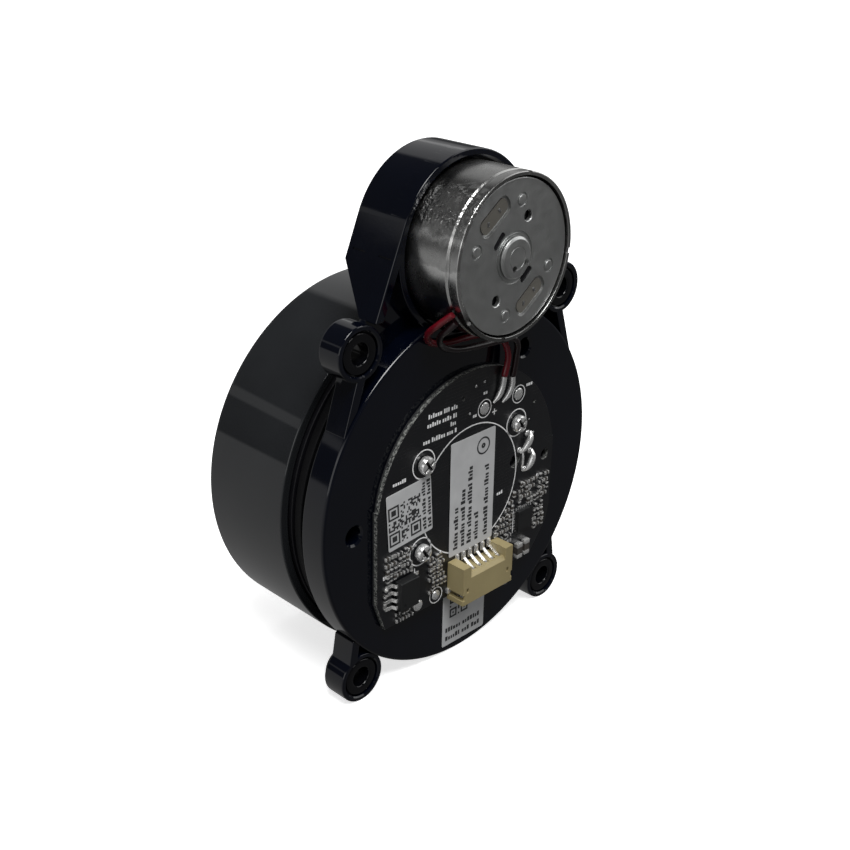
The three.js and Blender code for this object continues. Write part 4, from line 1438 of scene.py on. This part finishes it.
# ---- Floor and light ----
def make_floor():
    size = 3.0
    made = bmesh.new()
    for x, y in ((-size, -size), (size, -size), (size, size), (-size, size)):
        made.verts.new((x, y, 0))
    made.faces.new(made.verts)
    data = bpy.data.meshes.new("floor")
    made.to_mesh(data)
    made.free()
    floor = bpy.data.objects.new("floor", data)
    bpy.context.scene.collection.objects.link(floor)
    look = Look("floor").set(Specular_IOR_Level=0.0)
    patches = look.ramp(look.noise(400, 2), 0, 1)
    look.set(Base_Color=look.blend(patches, (0.93, 0.93, 0.93), (0.95, 0.95, 0.95)))
    look.set(Roughness=0.9, Emission_Color=(1, 1, 1, 1), Emission_Strength=0.7)
    data.materials.append(look.material)
    # The dark parts reflect the studio alone, as they do over a small sheet of paper.
    floor.visible_glossy = False
    floor.visible_diffuse = False


RIGHT, BEHIND, UP = (1, 0, 0), (0, 1, 0), (0, 0, 1)
LEFT_BEHIND = (-0.77, 0.63, 0)


def make_room(studio, direction, height):
    """The upper half: a dark room, with one narrow light strip low on its wall, and four panels."""
    rise, fall = studio.ramp(height, 0, 1, 0.275, 0.29), studio.ramp(height, 1, 0, 0.345, 0.36)
    room = studio.maths("MULTIPLY_ADD", studio.maths("MULTIPLY", rise, fall), 0.3, 0.06)
    right, behind = studio.towards(direction, RIGHT), studio.towards(direction, BEHIND)
    # Each panel's brightness and its soft borders: a direction, and where along it is dark and light.
    for level, borders in (
        # A large dim panel on the right behind the module.
        (0.45, ((right, 0.27, 0.33), (behind, 0.38, 0.48), (height, 0.1, 0.3))),
        # A bright panel on the right.
        (1.5, ((right, 0.4, 0.5), (behind, -0.75, -0.65), (behind, 0.34, 0.24), (height, 0.06, 0.12))),
        # A low panel on the left.
        (1.1, ((right, -0.6, -0.66), (behind, -0.6, -0.5), (behind, 0.4, 0.3), (height, 0.5, 0.4))),
        # A panel that faces the turret's far end.
        (0.4, ((right, -0.7, 0.5), (behind, 0.68, 0.8), (height, 0.75, 0.2))),
    ):
        panel = studio.ramp(height, level, level)
        for value, dark, light in borders:
            panel = studio.maths("MULTIPLY", panel, studio.ramp(value, 0, 1, dark, light))
        room = studio.maths("ADD", room, panel)
    return room


def make_world():
    """White behind the scene, and the dim studio that lights the module and shows in its glossy parts."""
    world = bpy.data.worlds.new("studio")
    bpy.context.scene.world = world
    studio = Graph(world)
    direction = studio.place.outputs["Generated"]
    height = studio.towards(direction, UP)
    # The table is lit on the left and behind, and dark at the front right.
    table = studio.ramp(studio.towards(direction, LEFT_BEHIND), 0.10, 0.42, -0.5, 1.0, True)
    room = make_room(studio, direction, height)
    above = studio.ramp(height, 0, 1, -0.01, 0.01)
    level = studio.add("Mix", {"Factor": above, "A": table, "B": room}, "Result")
    background = studio.nodes["Background"]
    studio.fill(background, {"Color": level})
    white = studio.add("Background", {"Strength": 1.35}, "Background")
    camera_sees = studio.add("LightPath", {}, "Is Camera Ray")
    shader = {"Fac": camera_sees, 1: background.outputs["Background"], 2: white}
    studio.fill(studio.nodes["World Output"], {"Surface": studio.add("MixShader", shader, "Shader")})


def make_light():
    """A soft lamp above and in front, on the left."""
    lamp = bpy.data.lights.new("key", "AREA")
    lamp.shape = "RECTANGLE"
    lamp.size = lamp.size_y = 0.4
    lamp.energy = 6.5
    light = bpy.data.objects.new("key", lamp)
    light.location = (-0.20, -0.30, 0.75)
    aim = Vector((0, 0, 0.03))
    light.rotation_euler = (aim - light.location).to_track_quat("-Z", "Y").to_euler()
    bpy.context.scene.collection.objects.link(light)


# ---- The module ----
make_camera()
make_materials()
make_base()
make_grommets()
make_pulley_cover()
make_belt()
make_turret_base()
make_drum()
make_optics()
make_can()
make_end_plate()
make_brush_marks()
make_cap()
make_board()
make_silkscreen()
make_small_parts()
make_chips()
make_solder()
make_connector()
make_pins()
make_labels()
make_leads()
for number in (1, 2, 3):
    make_screw(f"board_screw_{number}")
    make_screw(f"turret_cover_screw_{number}", "turret")
for number in (1, 2):
    make_screw(f"pulley_cover_screw_{number}")
dress_inner_nodes()
make_floor()
make_world()
make_light()
bpy.context.scene.view_settings.view_transform = "Standard"

bpy.context.view_layer.update()
